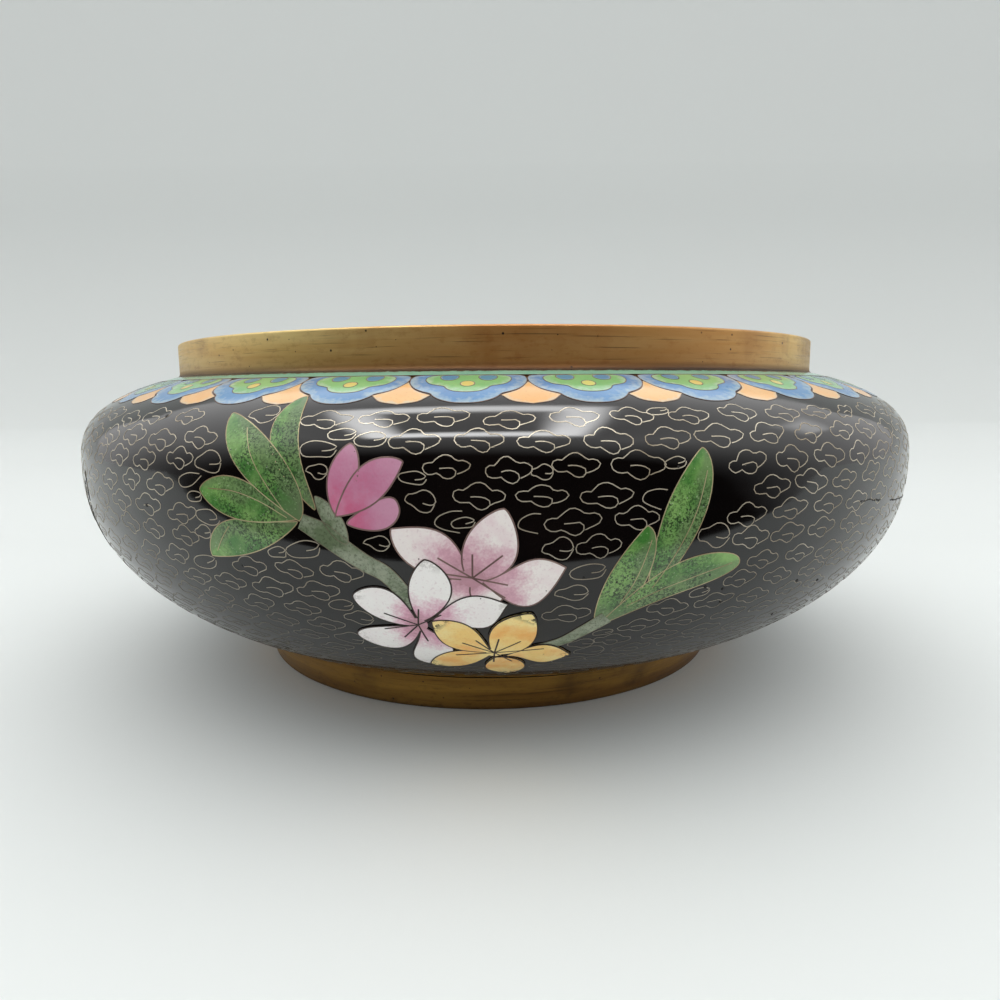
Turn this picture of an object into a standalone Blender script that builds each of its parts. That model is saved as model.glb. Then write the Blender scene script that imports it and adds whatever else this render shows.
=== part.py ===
"""Cloisonne bowl: an enamelled copper vessel with a brass collar round its mouth and a brass foot ring.

Metres, +Z up. The origin is the middle of the foot ring's underside, on the surface that the bowl stands on.
Every piece is turned about the Z axis: its half section lies in the XZ plane and a screw carries it round.
"""
import math

import bpy

COLLECTION_NAME = "cloisonne_bowl"

# Vessel. Its outer curve is two quarters of a superellipse that meet at the widest ring, one above and
# one below. A power of 2 is an ellipse, and a higher power is fuller at the corner.
BELLY_RADIUS = 0.1000
SHOULDER_RISE = 0.0243
SHOULDER_POWER = 2.98
UNDERSIDE_DROP = 0.0506
UNDERSIDE_POWER = 2.175
WALL = 0.0020

# Collar round the mouth. Its height is measured from the shoulder that it stands on.
COLLAR_RADIUS = 0.0792
COLLAR_WALL = 0.0017
COLLAR_HEIGHT = 0.0077
LIP_THICKNESS = 0.0012
COLLAR_EDGE_RADIUS = 0.0005

# Foot ring, which tapers towards the table. Its height is that of its outer edge.
FOOT_TOP_RADIUS = 0.0623
FOOT_BOTTOM_RADIUS = 0.0593
FOOT_WALL = 0.0030
FOOT_HEIGHT = 0.0082
FOOT_EDGE_RADIUS = 0.0005

# Clearance between pieces that seat on each other, and how finely the curves are cut.
SEAT_GAP = 0.0003
TURN_STEPS = 64
SHOULDER_POINTS = 9
UNDERSIDE_POINTS = 11
EDGE_POINTS = 3
SAMPLES = 400
MERGE_DISTANCE = 0.00001
SHARP_ANGLE = math.radians(35)

# Heights and radii that follow from the sizes above.
SHARE_AT_FOOT = (1 - (FOOT_TOP_RADIUS / BELLY_RADIUS) ** UNDERSIDE_POWER) ** (1 / UNDERSIDE_POWER)
BELLY_HEIGHT = FOOT_HEIGHT + SEAT_GAP + UNDERSIDE_DROP * SHARE_AT_FOOT
NECK_RADIUS = COLLAR_RADIUS - COLLAR_WALL - SEAT_GAP
FOOT_INNER_TOP_RADIUS = FOOT_TOP_RADIUS - FOOT_WALL
FOOT_INNER_BOTTOM_RADIUS = FOOT_BOTTOM_RADIUS - FOOT_WALL


def shoulder_height(radius, inset=0.0):
    """Height of the upper curve at a radius. An inset moves the curve inwards by that much."""
    share = (radius / (BELLY_RADIUS - inset)) ** SHOULDER_POWER
    return BELLY_HEIGHT + (SHOULDER_RISE - inset) * (1 - share) ** (1 / SHOULDER_POWER)


def underside_height(radius, inset=0.0):
    """Height of the lower curve at a radius."""
    share = (radius / (BELLY_RADIUS - inset)) ** UNDERSIDE_POWER
    return BELLY_HEIGHT - (UNDERSIDE_DROP - inset) * (1 - share) ** (1 / UNDERSIDE_POWER)


def underside_radius(height, inset=0.0):
    """Radius at which the lower curve reaches a height."""
    share = ((BELLY_HEIGHT - height) / (UNDERSIDE_DROP - inset)) ** UNDERSIDE_POWER
    return (BELLY_RADIUS - inset) * (1 - share) ** (1 / UNDERSIDE_POWER)


def evenly_spaced(points, count):
    """The given polyline again, with count points at equal distances along it."""
    lengths = [0.0]
    for start, end in zip(points, points[1:]):
        lengths.append(lengths[-1] + math.dist(start, end))
    result = []
    index = 0
    for step in range(count):
        target = lengths[-1] * step / (count - 1)
        while index < len(points) - 2 and lengths[index + 1] < target:
            index += 1
        share = (target - lengths[index]) / (lengths[index + 1] - lengths[index])
        result.append(tuple(a + (b - a) * share for a, b in zip(points[index], points[index + 1])))
    return result


def quarter_curve(end_radius, inset, half_axis, power, count):
    """A quarter of the outline, from the widest ring to end_radius, on the side that half_axis points to."""
    widest = BELLY_RADIUS - inset
    end_angle = math.acos((end_radius / widest) ** (power / 2))
    reach = half_axis - math.copysign(inset, half_axis)
    points = []
    for step in range(SAMPLES + 1):
        angle = end_angle * step / SAMPLES
        radius = widest * math.cos(angle) ** (2 / power)
        points.append((radius, BELLY_HEIGHT + reach * math.sin(angle) ** (2 / power)))
    return evenly_spaced(points, count)


def rounded_corner(corner, before, after, radius):
    """Points of the arc that rounds a square corner, from its before side to its after side.

    before and after are unit directions that lead away from the corner along its two sides.
    """
    centre = tuple(c + radius * (b + a) for c, b, a in zip(corner, before, after))
    points = []
    for step in range(EDGE_POINTS + 1):
        turn = math.pi / 2 * step / EDGE_POINTS
        points.append(tuple(m - radius * (a * math.cos(turn) + b * math.sin(turn))
                            for m, b, a in zip(centre, before, after)))
    return points


def vessel_section():
    """Half section of the vessel, from the axis over the floor, up the inside and down the outside."""
    base_height = underside_height(FOOT_INNER_TOP_RADIUS)
    floor_height = base_height + WALL
    floor_radius = underside_radius(floor_height, WALL)
    neck_top = shoulder_height(COLLAR_RADIUS) + COLLAR_HEIGHT - LIP_THICKNESS - SEAT_GAP
    inside_low = quarter_curve(floor_radius, WALL, -UNDERSIDE_DROP, UNDERSIDE_POWER, UNDERSIDE_POINTS)
    inside_high = quarter_curve(NECK_RADIUS - WALL, WALL, SHOULDER_RISE, SHOULDER_POWER, SHOULDER_POINTS)
    outside_high = quarter_curve(NECK_RADIUS, 0.0, SHOULDER_RISE, SHOULDER_POWER, SHOULDER_POINTS)
    outside_low = quarter_curve(FOOT_INNER_TOP_RADIUS, 0.0, -UNDERSIDE_DROP, UNDERSIDE_POWER,
                                UNDERSIDE_POINTS)
    section = [(0.0, floor_height)]
    section += inside_low[::-1]
    section += inside_high[1:]
    section += [(NECK_RADIUS - WALL, neck_top), (NECK_RADIUS, neck_top)]
    section += outside_high[::-1]
    section += outside_low[1:]
    section += [(0.0, base_height)]
    return section


def collar_section():
    """Closed half section of the collar: a band on the shoulder with a lip turned in over the neck."""
    top = shoulder_height(COLLAR_RADIUS) + COLLAR_HEIGHT
    inner_radius = COLLAR_RADIUS - COLLAR_WALL
    lip_radius = NECK_RADIUS - WALL
    section = rounded_corner((lip_radius, top), (0, -1), (1, 0), COLLAR_EDGE_RADIUS)
    section += rounded_corner((COLLAR_RADIUS, top), (-1, 0), (0, -1), COLLAR_EDGE_RADIUS)
    section += [
        (COLLAR_RADIUS, shoulder_height(COLLAR_RADIUS) + SEAT_GAP),
        (inner_radius, shoulder_height(inner_radius) + SEAT_GAP),
        (inner_radius, top - LIP_THICKNESS),
        (lip_radius, top - LIP_THICKNESS),
    ]
    return section


def foot_section():
    """Closed half section of the foot ring, whose top follows the underside of the vessel."""
    section = [(FOOT_TOP_RADIUS, underside_height(FOOT_TOP_RADIUS) - SEAT_GAP)]
    section += rounded_corner((FOOT_BOTTOM_RADIUS, 0.0), (0, 1), (-1, 0), FOOT_EDGE_RADIUS)
    section += rounded_corner((FOOT_INNER_BOTTOM_RADIUS, 0.0), (1, 0), (0, 1), FOOT_EDGE_RADIUS)
    section += [(FOOT_INNER_TOP_RADIUS, underside_height(FOOT_INNER_TOP_RADIUS) - SEAT_GAP)]
    return section


def clear_scene():
    """Remove the objects that the scene holds already."""
    for item in list(bpy.data.objects):
        bpy.data.objects.remove(item, do_unlink=True)


def make_material(name, colour, roughness, metallic):
    """A plain Principled BSDF."""
    material = bpy.data.materials.new(name)
    material.use_nodes = True
    shader = material.node_tree.nodes["Principled BSDF"]
    shader.inputs["Base Color"].default_value = (*colour, 1.0)
    shader.inputs["Roughness"].default_value = roughness
    shader.inputs["Metallic"].default_value = metallic
    return material


def turn_piece(name, section, closed, material, collection):
    """Carry a half section round the Z axis with a screw, and shade it smooth up to SHARP_ANGLE."""
    profile = bpy.data.meshes.new(name + "_profile")
    edges = [(index, index + 1) for index in range(len(section) - 1)]
    if closed:
        edges.append((len(section) - 1, 0))
    profile.from_pydata([(radius, 0.0, height) for radius, height in section], edges, [])
    turned = bpy.data.objects.new(name, profile)
    collection.objects.link(turned)
    screw = turned.modifiers.new("turn", "SCREW")
    screw.axis = "Z"
    screw.angle = math.tau
    screw.steps = TURN_STEPS
    screw.render_steps = TURN_STEPS
    screw.use_merge_vertices = True
    screw.merge_threshold = MERGE_DISTANCE
    evaluated = turned.evaluated_get(bpy.context.evaluated_depsgraph_get())
    mesh = bpy.data.meshes.new_from_object(evaluated)
    mesh.name = name
    turned.modifiers.clear()
    turned.data = mesh
    bpy.data.meshes.remove(profile)
    mesh.materials.clear()
    mesh.materials.append(material)
    mesh.shade_smooth()
    mesh.set_sharp_from_angle(angle=SHARP_ANGLE)
    return turned


def build():
    """Make the three pieces in a collection of their own."""
    clear_scene()
    collection = bpy.data.collections.new(COLLECTION_NAME)
    bpy.context.scene.collection.children.link(collection)
    enamel = make_material("black_enamel", (0.012, 0.011, 0.010), 0.16, 0.0)
    collar_brass = make_material("collar_brass", (0.50, 0.34, 0.14), 0.34, 1.0)
    foot_brass = make_material("foot_brass", (0.36, 0.24, 0.10), 0.42, 1.0)
    turn_piece("enamelled_bowl", vessel_section(), False, enamel, collection)
    turn_piece("rim_collar", collar_section(), True, collar_brass, collection)
    turn_piece("foot_ring", foot_section(), True, foot_brass, collection)


build()
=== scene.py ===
"""Cloisonne bowl, the looks: enamel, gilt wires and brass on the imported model.

Metres, +Z up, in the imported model's frame. The flower spray faces -Y.

The enamel picture is laid out on the wall as on a sheet. A place on it is (across, down) in millimetres:
across is 100 times the angle round the bowl in radians, nought at the front and growing to the right, so
it is a true length at the belly. Down is the true length along the wall from the foot of the collar.
"""

import bpy
import numpy as np
from mathutils import Matrix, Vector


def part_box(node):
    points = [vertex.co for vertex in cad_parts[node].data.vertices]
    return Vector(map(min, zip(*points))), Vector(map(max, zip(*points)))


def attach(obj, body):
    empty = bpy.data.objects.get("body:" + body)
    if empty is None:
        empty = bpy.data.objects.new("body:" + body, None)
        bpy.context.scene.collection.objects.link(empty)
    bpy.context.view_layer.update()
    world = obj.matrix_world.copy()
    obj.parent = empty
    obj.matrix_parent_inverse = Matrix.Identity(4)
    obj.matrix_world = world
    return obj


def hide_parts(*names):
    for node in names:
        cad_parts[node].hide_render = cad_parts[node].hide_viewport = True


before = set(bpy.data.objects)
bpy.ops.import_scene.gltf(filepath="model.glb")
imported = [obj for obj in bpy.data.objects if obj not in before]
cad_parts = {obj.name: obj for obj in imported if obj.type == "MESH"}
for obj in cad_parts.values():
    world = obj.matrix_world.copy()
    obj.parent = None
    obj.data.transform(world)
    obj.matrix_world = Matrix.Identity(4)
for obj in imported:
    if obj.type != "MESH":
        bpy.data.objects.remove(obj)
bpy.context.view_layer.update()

# The camera. It stands about 20 cm from the bowl's axis, a little under the rim, and looks slightly down.
# Its focal length is in pixels of the square picture, as are the places of the picture's middle.
PICTURE_SIDE = 1000
FOCAL_PIXELS = 720
MIDDLE_COLUMN = 495.5
SENSOR_WIDTH = 36.0
CAMERA_PLACE = (0.0, -0.2003, 0.0654)
CAMERA_PITCH = 0.1502
CAMERA_ROLL = -0.0075

lens = bpy.data.cameras.new("camera")
lens.sensor_width = SENSOR_WIDTH
lens.lens = SENSOR_WIDTH * FOCAL_PIXELS / PICTURE_SIDE
lens.shift_x = 0.5 - MIDDLE_COLUMN / PICTURE_SIDE
lens.clip_start = 0.01
camera = bpy.data.objects.new("camera", lens)
camera.matrix_world = (Matrix.Translation(CAMERA_PLACE)
                       @ Matrix.Rotation(np.pi / 2 - CAMERA_PITCH, 4, "X")
                       @ Matrix.Rotation(CAMERA_ROLL, 4, "Z"))
bpy.context.scene.collection.objects.link(camera)
bpy.context.scene.camera = camera
bpy.context.scene.view_settings.view_transform = "Standard"

# The room. A pale tent that lights the bowl from all sides. Mirror images show what stands in it: dark in
# front of the bowl, where the camera is, a brighter roof, a square ring of lamps under it and a window.
# The camera itself sees plain pale paper wherever the floor's card ends.
HORIZON = (1.90, 1.94, 1.93)
CEILING = (1.42, 1.45, 1.44)
# In mirror images: (height from 0 at the horizon to 1 overhead, how many times brighter than white).
MIRROR_HEIGHTS = [(0.0, 0.86), (0.45, 1.45), (0.70, 1.65), (0.88, 1.25), (1.0, 1.3)]
# The dark lies this way, and the share of light that it takes from matt surfaces is less.
DARK_SIDE = (0.010, 0.008, 0.008)
DARK_WAY = (-0.17, -0.98, -0.80)
DARK_EDGE = (-0.20, 0.44)
DARK_SHARE = 0.66
PAPER = (0.76, 0.79, 0.78)
# Panels on a flat roof one metre up: (middle, half of each side), then the soft edge and the glow.
RING = ((-0.08, -0.10), (0.42, 0.48))
RING_WIDTH = 0.14
RING_EDGE = 0.07
RING_GLOW = (7.5, 15.0)
# The ring's sides lean outwards: its far side is this much wider than its near one.
RING_SPLAY = 0.84
WINDOW = ((1.65, 0.35), (0.45, 0.28))
WINDOW_EDGE = 0.2
WINDOW_GLOW = 2.1


def add_node(tree, kind, inputs=None, **settings):
    """A new node with its settings, and its inputs set to values or joined to other nodes' outputs."""
    made = tree.nodes.new(kind)
    for name, value in settings.items():
        setattr(made, name, value)
    for name, value in (inputs or {}).items():
        if isinstance(value, bpy.types.NodeSocket):
            tree.links.new(value, made.inputs[name])
        else:
            made.inputs[name].default_value = value
    return made


def add_ramp(tree, share, stops, smooth=True):
    """The output of a colour ramp, whose stops are (place, linear colour)."""
    ramp = add_node(tree, "ShaderNodeValToRGB", {0: share})
    ramp.color_ramp.interpolation = "EASE" if smooth else "LINEAR"
    while len(ramp.color_ramp.elements) < len(stops):
        ramp.color_ramp.elements.new(0.5)
    for element, (place, paint) in zip(ramp.color_ramp.elements, stops):
        element.position = place
        element.color = (*paint[:3], 1.0)
    return ramp.outputs[0]


def between(tree, value, low, high, new_low=0.0, new_high=1.0):
    """A value carried from one range to another and kept inside it."""
    inputs = {0: value, 1: low, 2: high, 3: new_low, 4: new_high}
    return add_node(tree, "ShaderNodeMapRange", inputs).outputs[0]


def mix(tree, share, first, second):
    """Two colours mixed by a share."""
    return add_node(tree, "ShaderNodeMix", {0: share, 6: first, 7: second}, data_type="RGBA").outputs[2]


def math(tree, kind, first, second=0.0):
    """One sum on two values."""
    return add_node(tree, "ShaderNodeMath", {0: first, 1: second}, operation=kind).outputs[0]


def panel(tree, place, middle, halves, edge):
    """One inside a rectangle on the roof, falling softly to nought over its edge."""
    rooms = [math(tree, "SUBTRACT", half, math(tree, "ABSOLUTE", math(tree, "SUBTRACT", value, centre)))
             for value, centre, half in zip(place, middle, halves)]
    return between(tree, math(tree, "MINIMUM", *rooms), 0.0, edge)


room = bpy.data.worlds.new("room")
room.use_nodes = True
bpy.context.scene.world = room
tree = room.node_tree
aim = add_node(tree, "ShaderNodeTexCoord").outputs["Generated"]
side, depth, height = add_node(tree, "ShaderNodeSeparateXYZ", {0: aim}).outputs
tent = add_ramp(tree, height, [(0.0, HORIZON), (0.55, CEILING)])
mirror_stops = [(place, (glow,) * 3) for place, glow in MIRROR_HEIGHTS]
mirrored_tent = add_ramp(tree, height, mirror_stops, smooth=False)
ahead = add_node(tree, "ShaderNodeVectorMath", {0: aim, 1: DARK_WAY}, operation="DOT_PRODUCT").outputs[1]
dark = between(tree, ahead, *DARK_EDGE)
mirrored_tent = mix(tree, dark, mirrored_tent, (*DARK_SIDE, 1.0))
tent = mix(tree, math(tree, "MULTIPLY", dark, DARK_SHARE), tent, (*DARK_SIDE, 1.0))
lift = math(tree, "MAXIMUM", height, 0.05)
roof = [math(tree, "DIVIDE", value, lift) for value in (side, depth)]
inner_halves = [half - RING_WIDTH for half in RING[1]]
splay = between(tree, roof[1], 0.3, -0.5, 1.0, RING_SPLAY)
splayed = [math(tree, "MULTIPLY", roof[0], splay), roof[1]]
ring = math(tree, "SUBTRACT", panel(tree, splayed, *RING, RING_EDGE),
            panel(tree, splayed, RING[0], inner_halves, RING_EDGE))
ring_glow = between(tree, roof[1], 0.3, -0.5, *RING_GLOW)
glow = math(tree, "ADD", math(tree, "MULTIPLY", ring, ring_glow),
            math(tree, "MULTIPLY", panel(tree, roof, *WINDOW, WINDOW_EDGE), WINDOW_GLOW))
mirrored_tent = add_node(tree, "ShaderNodeVectorMath", {0: mirrored_tent, 1: glow},
                         operation="ADD").outputs[0]
rays = add_node(tree, "ShaderNodeLightPath").outputs
tent = mix(tree, rays["Is Glossy Ray"], tent, mirrored_tent)
tent = mix(tree, rays["Is Camera Ray"], tent, (*PAPER, 1.0))
tree.links.new(tent, tree.nodes["Background"].inputs["Color"])

# The floor and the backdrop. One pale sheet of card that lies under the bowl and curves up behind it. Its
# colour is graded as painted shade, a little darker behind the bowl than in front, for light that falls off
# with distance.
STAGE_HALF_WIDTH = 2.4
STAGE_FRONT = -0.14
STAGE_BEND = 1.1
STAGE_BEND_RADIUS = 0.5
STAGE_TOP = 1.6
STAGE_CARD = (0.78, 0.80, 0.79)
# How light the card is painted at each place from -2 cm (0) to 58 cm (1) behind the bowl's middle, as
# painted shade. It is painted lighter again up the bend.
STAGE_PAINTED_SHADE = [(0.0, 1.0), (0.22, 0.90), (0.85, 0.84)]


def colour(red, green, blue):
    """A colour as it is seen, in parts of 255, turned into the linear values that a shader takes."""
    seen = np.array([red, green, blue]) / 255
    linear = np.where(seen <= 0.04045, seen / 12.92, ((seen + 0.055) / 1.055) ** 2.4)
    return (*(float(part) for part in linear), 1.0)


def new_material(name, paint, roughness, metallic=0.0):
    """A material and the two things its nodes are joined to: its tree and its Principled shader."""
    made = bpy.data.materials.new(name)
    made.use_nodes = True
    shader = made.node_tree.nodes["Principled BSDF"]
    shader.inputs["Base Color"].default_value = (*paint[:3], 1.0)
    shader.inputs["Roughness"].default_value = roughness
    shader.inputs["Metallic"].default_value = metallic
    return made, made.node_tree, shader


def make_piece(name, points, face_sets, material, sharp=35, cell_map=None):
    """A mesh object from an array of points and arrays of faces, each with its own number of corners.

    It is shaded smooth, except across edges that bend by more than sharp degrees. cell_map gives each
    point its two coordinates for the UV map named cell.
    """
    mesh = bpy.data.meshes.new(name)
    corners = np.concatenate([faces.ravel() for faces in face_sets]).astype(np.int32)
    sizes = np.concatenate([np.full(len(faces), faces.shape[1]) for faces in face_sets])
    mesh.vertices.add(len(points))
    mesh.vertices.foreach_set("co", np.asarray(points, np.float32).ravel())
    mesh.loops.add(len(corners))
    mesh.loops.foreach_set("vertex_index", corners)
    mesh.polygons.add(len(sizes))
    mesh.polygons.foreach_set("loop_start", (np.cumsum(sizes) - sizes).astype(np.int32))
    mesh.update(calc_edges=True)
    if cell_map is not None:
        layer = mesh.uv_layers.new(name="cell")
        layer.uv.foreach_set("vector", np.asarray(cell_map, np.float32)[corners].ravel())
    mesh.shade_smooth()
    mesh.set_sharp_from_angle(angle=np.radians(sharp))
    mesh.materials.append(material)
    piece = bpy.data.objects.new(name, mesh)
    bpy.context.scene.collection.objects.link(piece)
    return piece


def grid_faces(rows, columns, closed=False):
    """Quads of a grid numbered row by row. They face out where the rows run forward and columns left."""
    index = np.arange(rows * columns).reshape(rows, columns)
    if closed:
        index = np.hstack([index, index[:, :1]])
    return np.stack([index[:-1, :-1], index[1:, :-1], index[1:, 1:], index[:-1, 1:]], -1).reshape(-1, 4)


bend = np.linspace(0, np.pi / 2, 24)
profile_y = np.concatenate([[STAGE_FRONT], STAGE_BEND + STAGE_BEND_RADIUS * np.sin(bend),
                            [STAGE_BEND + STAGE_BEND_RADIUS]])
profile_z = np.concatenate([[0.0], STAGE_BEND_RADIUS * (1 - np.cos(bend)), [STAGE_TOP]])
sides = np.array([STAGE_HALF_WIDTH, -STAGE_HALF_WIDTH])
stage_points = np.stack(np.broadcast_arrays(sides[None, :], profile_y[:, None], profile_z[:, None]), -1)
card, tree, shader = new_material("pale_card", STAGE_CARD, 0.75)
place = add_node(tree, "ShaderNodeTexCoord").outputs["Object"]
behind, up = add_node(tree, "ShaderNodeSeparateXYZ", {0: place}).outputs[1:]
# Painted shade: the card darkens behind the bowl and grows lighter again up the bend.
painted_shade_stops = [(share, [part * dim for part in STAGE_CARD]) for share, dim in STAGE_PAINTED_SHADE]
shade_place = math(tree, "SUBTRACT", between(tree, behind, -0.02, 0.58), between(tree, up, 0.08, 0.6, 0.0, 0.8))
tree.links.new(add_ramp(tree, shade_place, painted_shade_stops, smooth=False), shader.inputs["Base Color"])
fibres = add_node(tree, "ShaderNodeTexNoise", {"Vector": place, "Scale": 900.0, "Detail": 3.0})
tree.links.new(add_node(tree, "ShaderNodeBump", {"Strength": 0.03, "Distance": 0.0002,
                                                 "Height": fibres.outputs[0]}).outputs[0],
               shader.inputs["Normal"])
backdrop = make_piece("backdrop", stage_points.reshape(-1, 3), [grid_faces(len(profile_y), 2)], card)

# The vessel's outside. A bowl raised from copper sheet, with wires soldered on and black enamel fired
# between them in several layers, then ground level and polished. Old polish scratches and pinholes show.
MM = 0.001
BELLY_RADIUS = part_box("enamelled_bowl")[1].x
COLLAR_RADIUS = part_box("rim_collar")[1].x
RIM_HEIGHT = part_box("rim_collar")[1].z
FOOT_TOP_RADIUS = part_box("foot_ring")[1].x
FOOT_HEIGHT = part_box("foot_ring")[1].z
SHOULDER_RISE = 24.3 * MM
SHOULDER_POWER = 2.98
UNDERSIDE_DROP = 50.6 * MM
UNDERSIDE_POWER = 2.175
SEAT_GAP = 0.3 * MM
COLLAR_WALL = 1.7 * MM
LIP_THICKNESS = 1.2 * MM
FOOT_WALL = 3.0 * MM
# The vessel is drawn as two skins that meet this deep in its wall.
COPPER_MIDDLE = 1.0 * MM
OUTSIDE_STEPS = 384
OUTSIDE_SPACING = 0.8 * MM
HIDDEN_SPACING = 3.0 * MM
WALL_SAMPLES = 3000
SCRATCH_DEPTH = 0.004 * MM
RIPPLE_DEPTH = 0.03 * MM
HOLE_DEPTH = 0.12 * MM
BLACK = colour(5, 4, 4)
BROWN_BLACK = colour(16, 11, 10)

share_at_foot = (1 - (FOOT_TOP_RADIUS / BELLY_RADIUS) ** UNDERSIDE_POWER) ** (1 / UNDERSIDE_POWER)
BELLY_HEIGHT = FOOT_HEIGHT + SEAT_GAP + UNDERSIDE_DROP * share_at_foot
NECK_RADIUS = COLLAR_RADIUS - COLLAR_WALL - SEAT_GAP
NECK_TOP = RIM_HEIGHT - LIP_THICKNESS - SEAT_GAP
FOOT_INNER_RADIUS = FOOT_TOP_RADIUS - FOOT_WALL


def respaced(line, spacing):
    """A line of points again, as points at even distances of about that spacing."""
    run = np.concatenate([[0], np.cumsum(np.hypot(*np.diff(line, axis=0).T))])
    stops = np.linspace(0, run[-1], int(round(run[-1] / spacing)) + 1)
    return np.stack([np.interp(stops, run, line[:, axis]) for axis in range(2)], -1)


def wall_curve(low_radius, high_radius, inset=0.0):
    """Points (radius, height) up the wall: two quarters of a superellipse that meet at the belly.

    On each, (radius / widest) to the power plus (rise / height of the quarter) to the power is one.
    """
    widest = BELLY_RADIUS - inset
    low = np.arccos((low_radius / widest) ** (UNDERSIDE_POWER / 2))
    high = np.arccos((high_radius / widest) ** (SHOULDER_POWER / 2))
    turn = np.concatenate([np.linspace(-low, 0, WALL_SAMPLES), np.linspace(0, high, WALL_SAMPLES)[1:]])
    power = np.where(turn < 0, UNDERSIDE_POWER, SHOULDER_POWER)
    reach = np.where(turn < 0, inset - UNDERSIDE_DROP, SHOULDER_RISE - inset)
    radius = widest * np.cos(turn) ** (2 / power)
    return np.stack([radius, BELLY_HEIGHT + reach * np.abs(np.sin(turn)) ** (2 / power)], -1)


BASE_HEIGHT = wall_curve(FOOT_INNER_RADIUS, COLLAR_RADIUS)[0, 1]


def wall_face(inset, spacing):
    """The wall's line at an inset, from the axis across the base, up to the top of the neck."""
    height = BASE_HEIGHT + inset
    share = ((BELLY_HEIGHT - height) / (UNDERSIDE_DROP - inset)) ** UNDERSIDE_POWER
    base_radius = (BELLY_RADIUS - inset) * (1 - share) ** (1 / UNDERSIDE_POWER)
    base = respaced(np.array([[0.0, height], [base_radius, height]]), 3 * spacing)
    wall = respaced(wall_curve(base_radius, NECK_RADIUS - inset, inset), spacing)
    return np.concatenate([base, wall[1:], [[NECK_RADIUS - inset, NECK_TOP]]])


def turned(section, steps, closed=False):
    """Points and faces of a half section carried round the Z axis.

    A closed section is a ring. An open one starts and ends on the axis, and each end becomes a fan.
    """
    angle = np.linspace(0, 2 * np.pi, steps, endpoint=False)
    rings = section if closed else section[1:-1]
    points = np.stack([rings[:, :1] * np.cos(angle), rings[:, :1] * np.sin(angle),
                       np.broadcast_to(rings[:, 1:], (len(rings), steps))], -1).reshape(-1, 3)
    quads = grid_faces(len(rings), steps, closed=True)[:, ::-1]
    start = np.arange(steps)
    after = (start + 1) % steps
    last = (len(rings) - 1) * steps
    if closed:
        return points, [quads, np.stack([last + start, last + after, after, start], -1)]
    poles = np.array([[0, 0, section[0, 1]], [0, 0, section[-1, 1]]])
    low = np.stack([np.full(steps, len(points)), after, start], -1)
    high = np.stack([np.full(steps, len(points) + 1), last + start, last + after], -1)
    return np.concatenate([points, poles]), [quads, low, high]


def object_place(tree, scale=(1, 1, 1)):
    """The object's own coordinates, stretched by a scale."""
    place = add_node(tree, "ShaderNodeTexCoord").outputs["Object"]
    return add_node(tree, "ShaderNodeMapping", {"Vector": place, "Scale": scale}).outputs[0]


def noise(tree, scale, detail=2.0, stretch=(1, 1, 1), roughness=0.5):
    """Noise in the object's own coordinates, with so many cells to the metre."""
    return add_node(tree, "ShaderNodeTexNoise", {"Vector": object_place(tree, stretch), "Scale": scale,
                                                 "Detail": detail, "Roughness": roughness}).outputs[0]


def pinholes(tree, scale, size, kept):
    """One inside small round holes, so many to the metre and so large, of which only a share are kept."""
    cells = add_node(tree, "ShaderNodeTexVoronoi", {"Vector": object_place(tree), "Scale": scale})
    near = between(tree, cells.outputs["Distance"], size * scale, 0.5 * size * scale)
    lot = add_node(tree, "ShaderNodeSeparateColor", {0: cells.outputs["Color"]}).outputs[0]
    return math(tree, "MULTIPLY", near, math(tree, "LESS_THAN", lot, kept))


def polished(tree, shader, holes):
    """Bump of a hand-polished surface: fine scratches that run round the bowl, and pinholes."""
    scratch = noise(tree, 40.0, 3.0, (1, 1, 60), 0.65)
    ripple = noise(tree, 90.0, 1.0)
    first = add_node(tree, "ShaderNodeBump",
                     {"Strength": 0.5, "Distance": SCRATCH_DEPTH, "Height": scratch})
    second = add_node(tree, "ShaderNodeBump", {"Strength": 0.35, "Distance": RIPPLE_DEPTH, "Height": ripple,
                                               "Normal": first.outputs[0]})
    third = add_node(tree, "ShaderNodeBump", {"Strength": 0.8, "Distance": HOLE_DEPTH, "Height": holes,
                                              "Normal": second.outputs[0]}, invert=True)
    tree.links.new(third.outputs[0], shader.inputs["Normal"])


black_enamel, tree, shader = new_material("black_enamel", BLACK, 0.12)
holes = math(tree, "MAXIMUM", pinholes(tree, 420.0, 0.00012, 0.10), pinholes(tree, 150.0, 0.00026, 0.07))
clouded = between(tree, noise(tree, 35.0, 4.0), 0.35, 0.7)
paint = mix(tree, clouded, BLACK, BROWN_BLACK)
tree.links.new(mix(tree, holes, paint, colour(6, 5, 5)), shader.inputs["Base Color"])
worn = noise(tree, 30.0, 5.0, (1, 1, 12), 0.7)
tree.links.new(math(tree, "ADD", between(tree, worn, 0.35, 0.8, 0.06, 0.16),
                    math(tree, "MULTIPLY", holes, 0.5)), shader.inputs["Roughness"])
polished(tree, shader, holes)

outer = wall_face(0.0, OUTSIDE_SPACING)
middle = wall_face(COPPER_MIDDLE, HIDDEN_SPACING)
bowl_outside = make_piece("bowl_outside", *turned(np.concatenate([outer, middle[::-1]]), OUTSIDE_STEPS),
                          black_enamel)
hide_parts("enamelled_bowl")
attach(bowl_outside, "root")

# The vessel's inside. Counter-enamel, fired on the back of the copper so that it doesn't warp: one plain
# turquoise coat, a little uneven, with pinholes.
WALL = 2.0 * MM
INSIDE_STEPS = 256
INSIDE_SPACING = 1.3 * MM
SKIN_GAP = 0.05 * MM
TURQUOISE = colour(64, 158, 168)
DEEP_TURQUOISE = colour(40, 128, 142)

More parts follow.
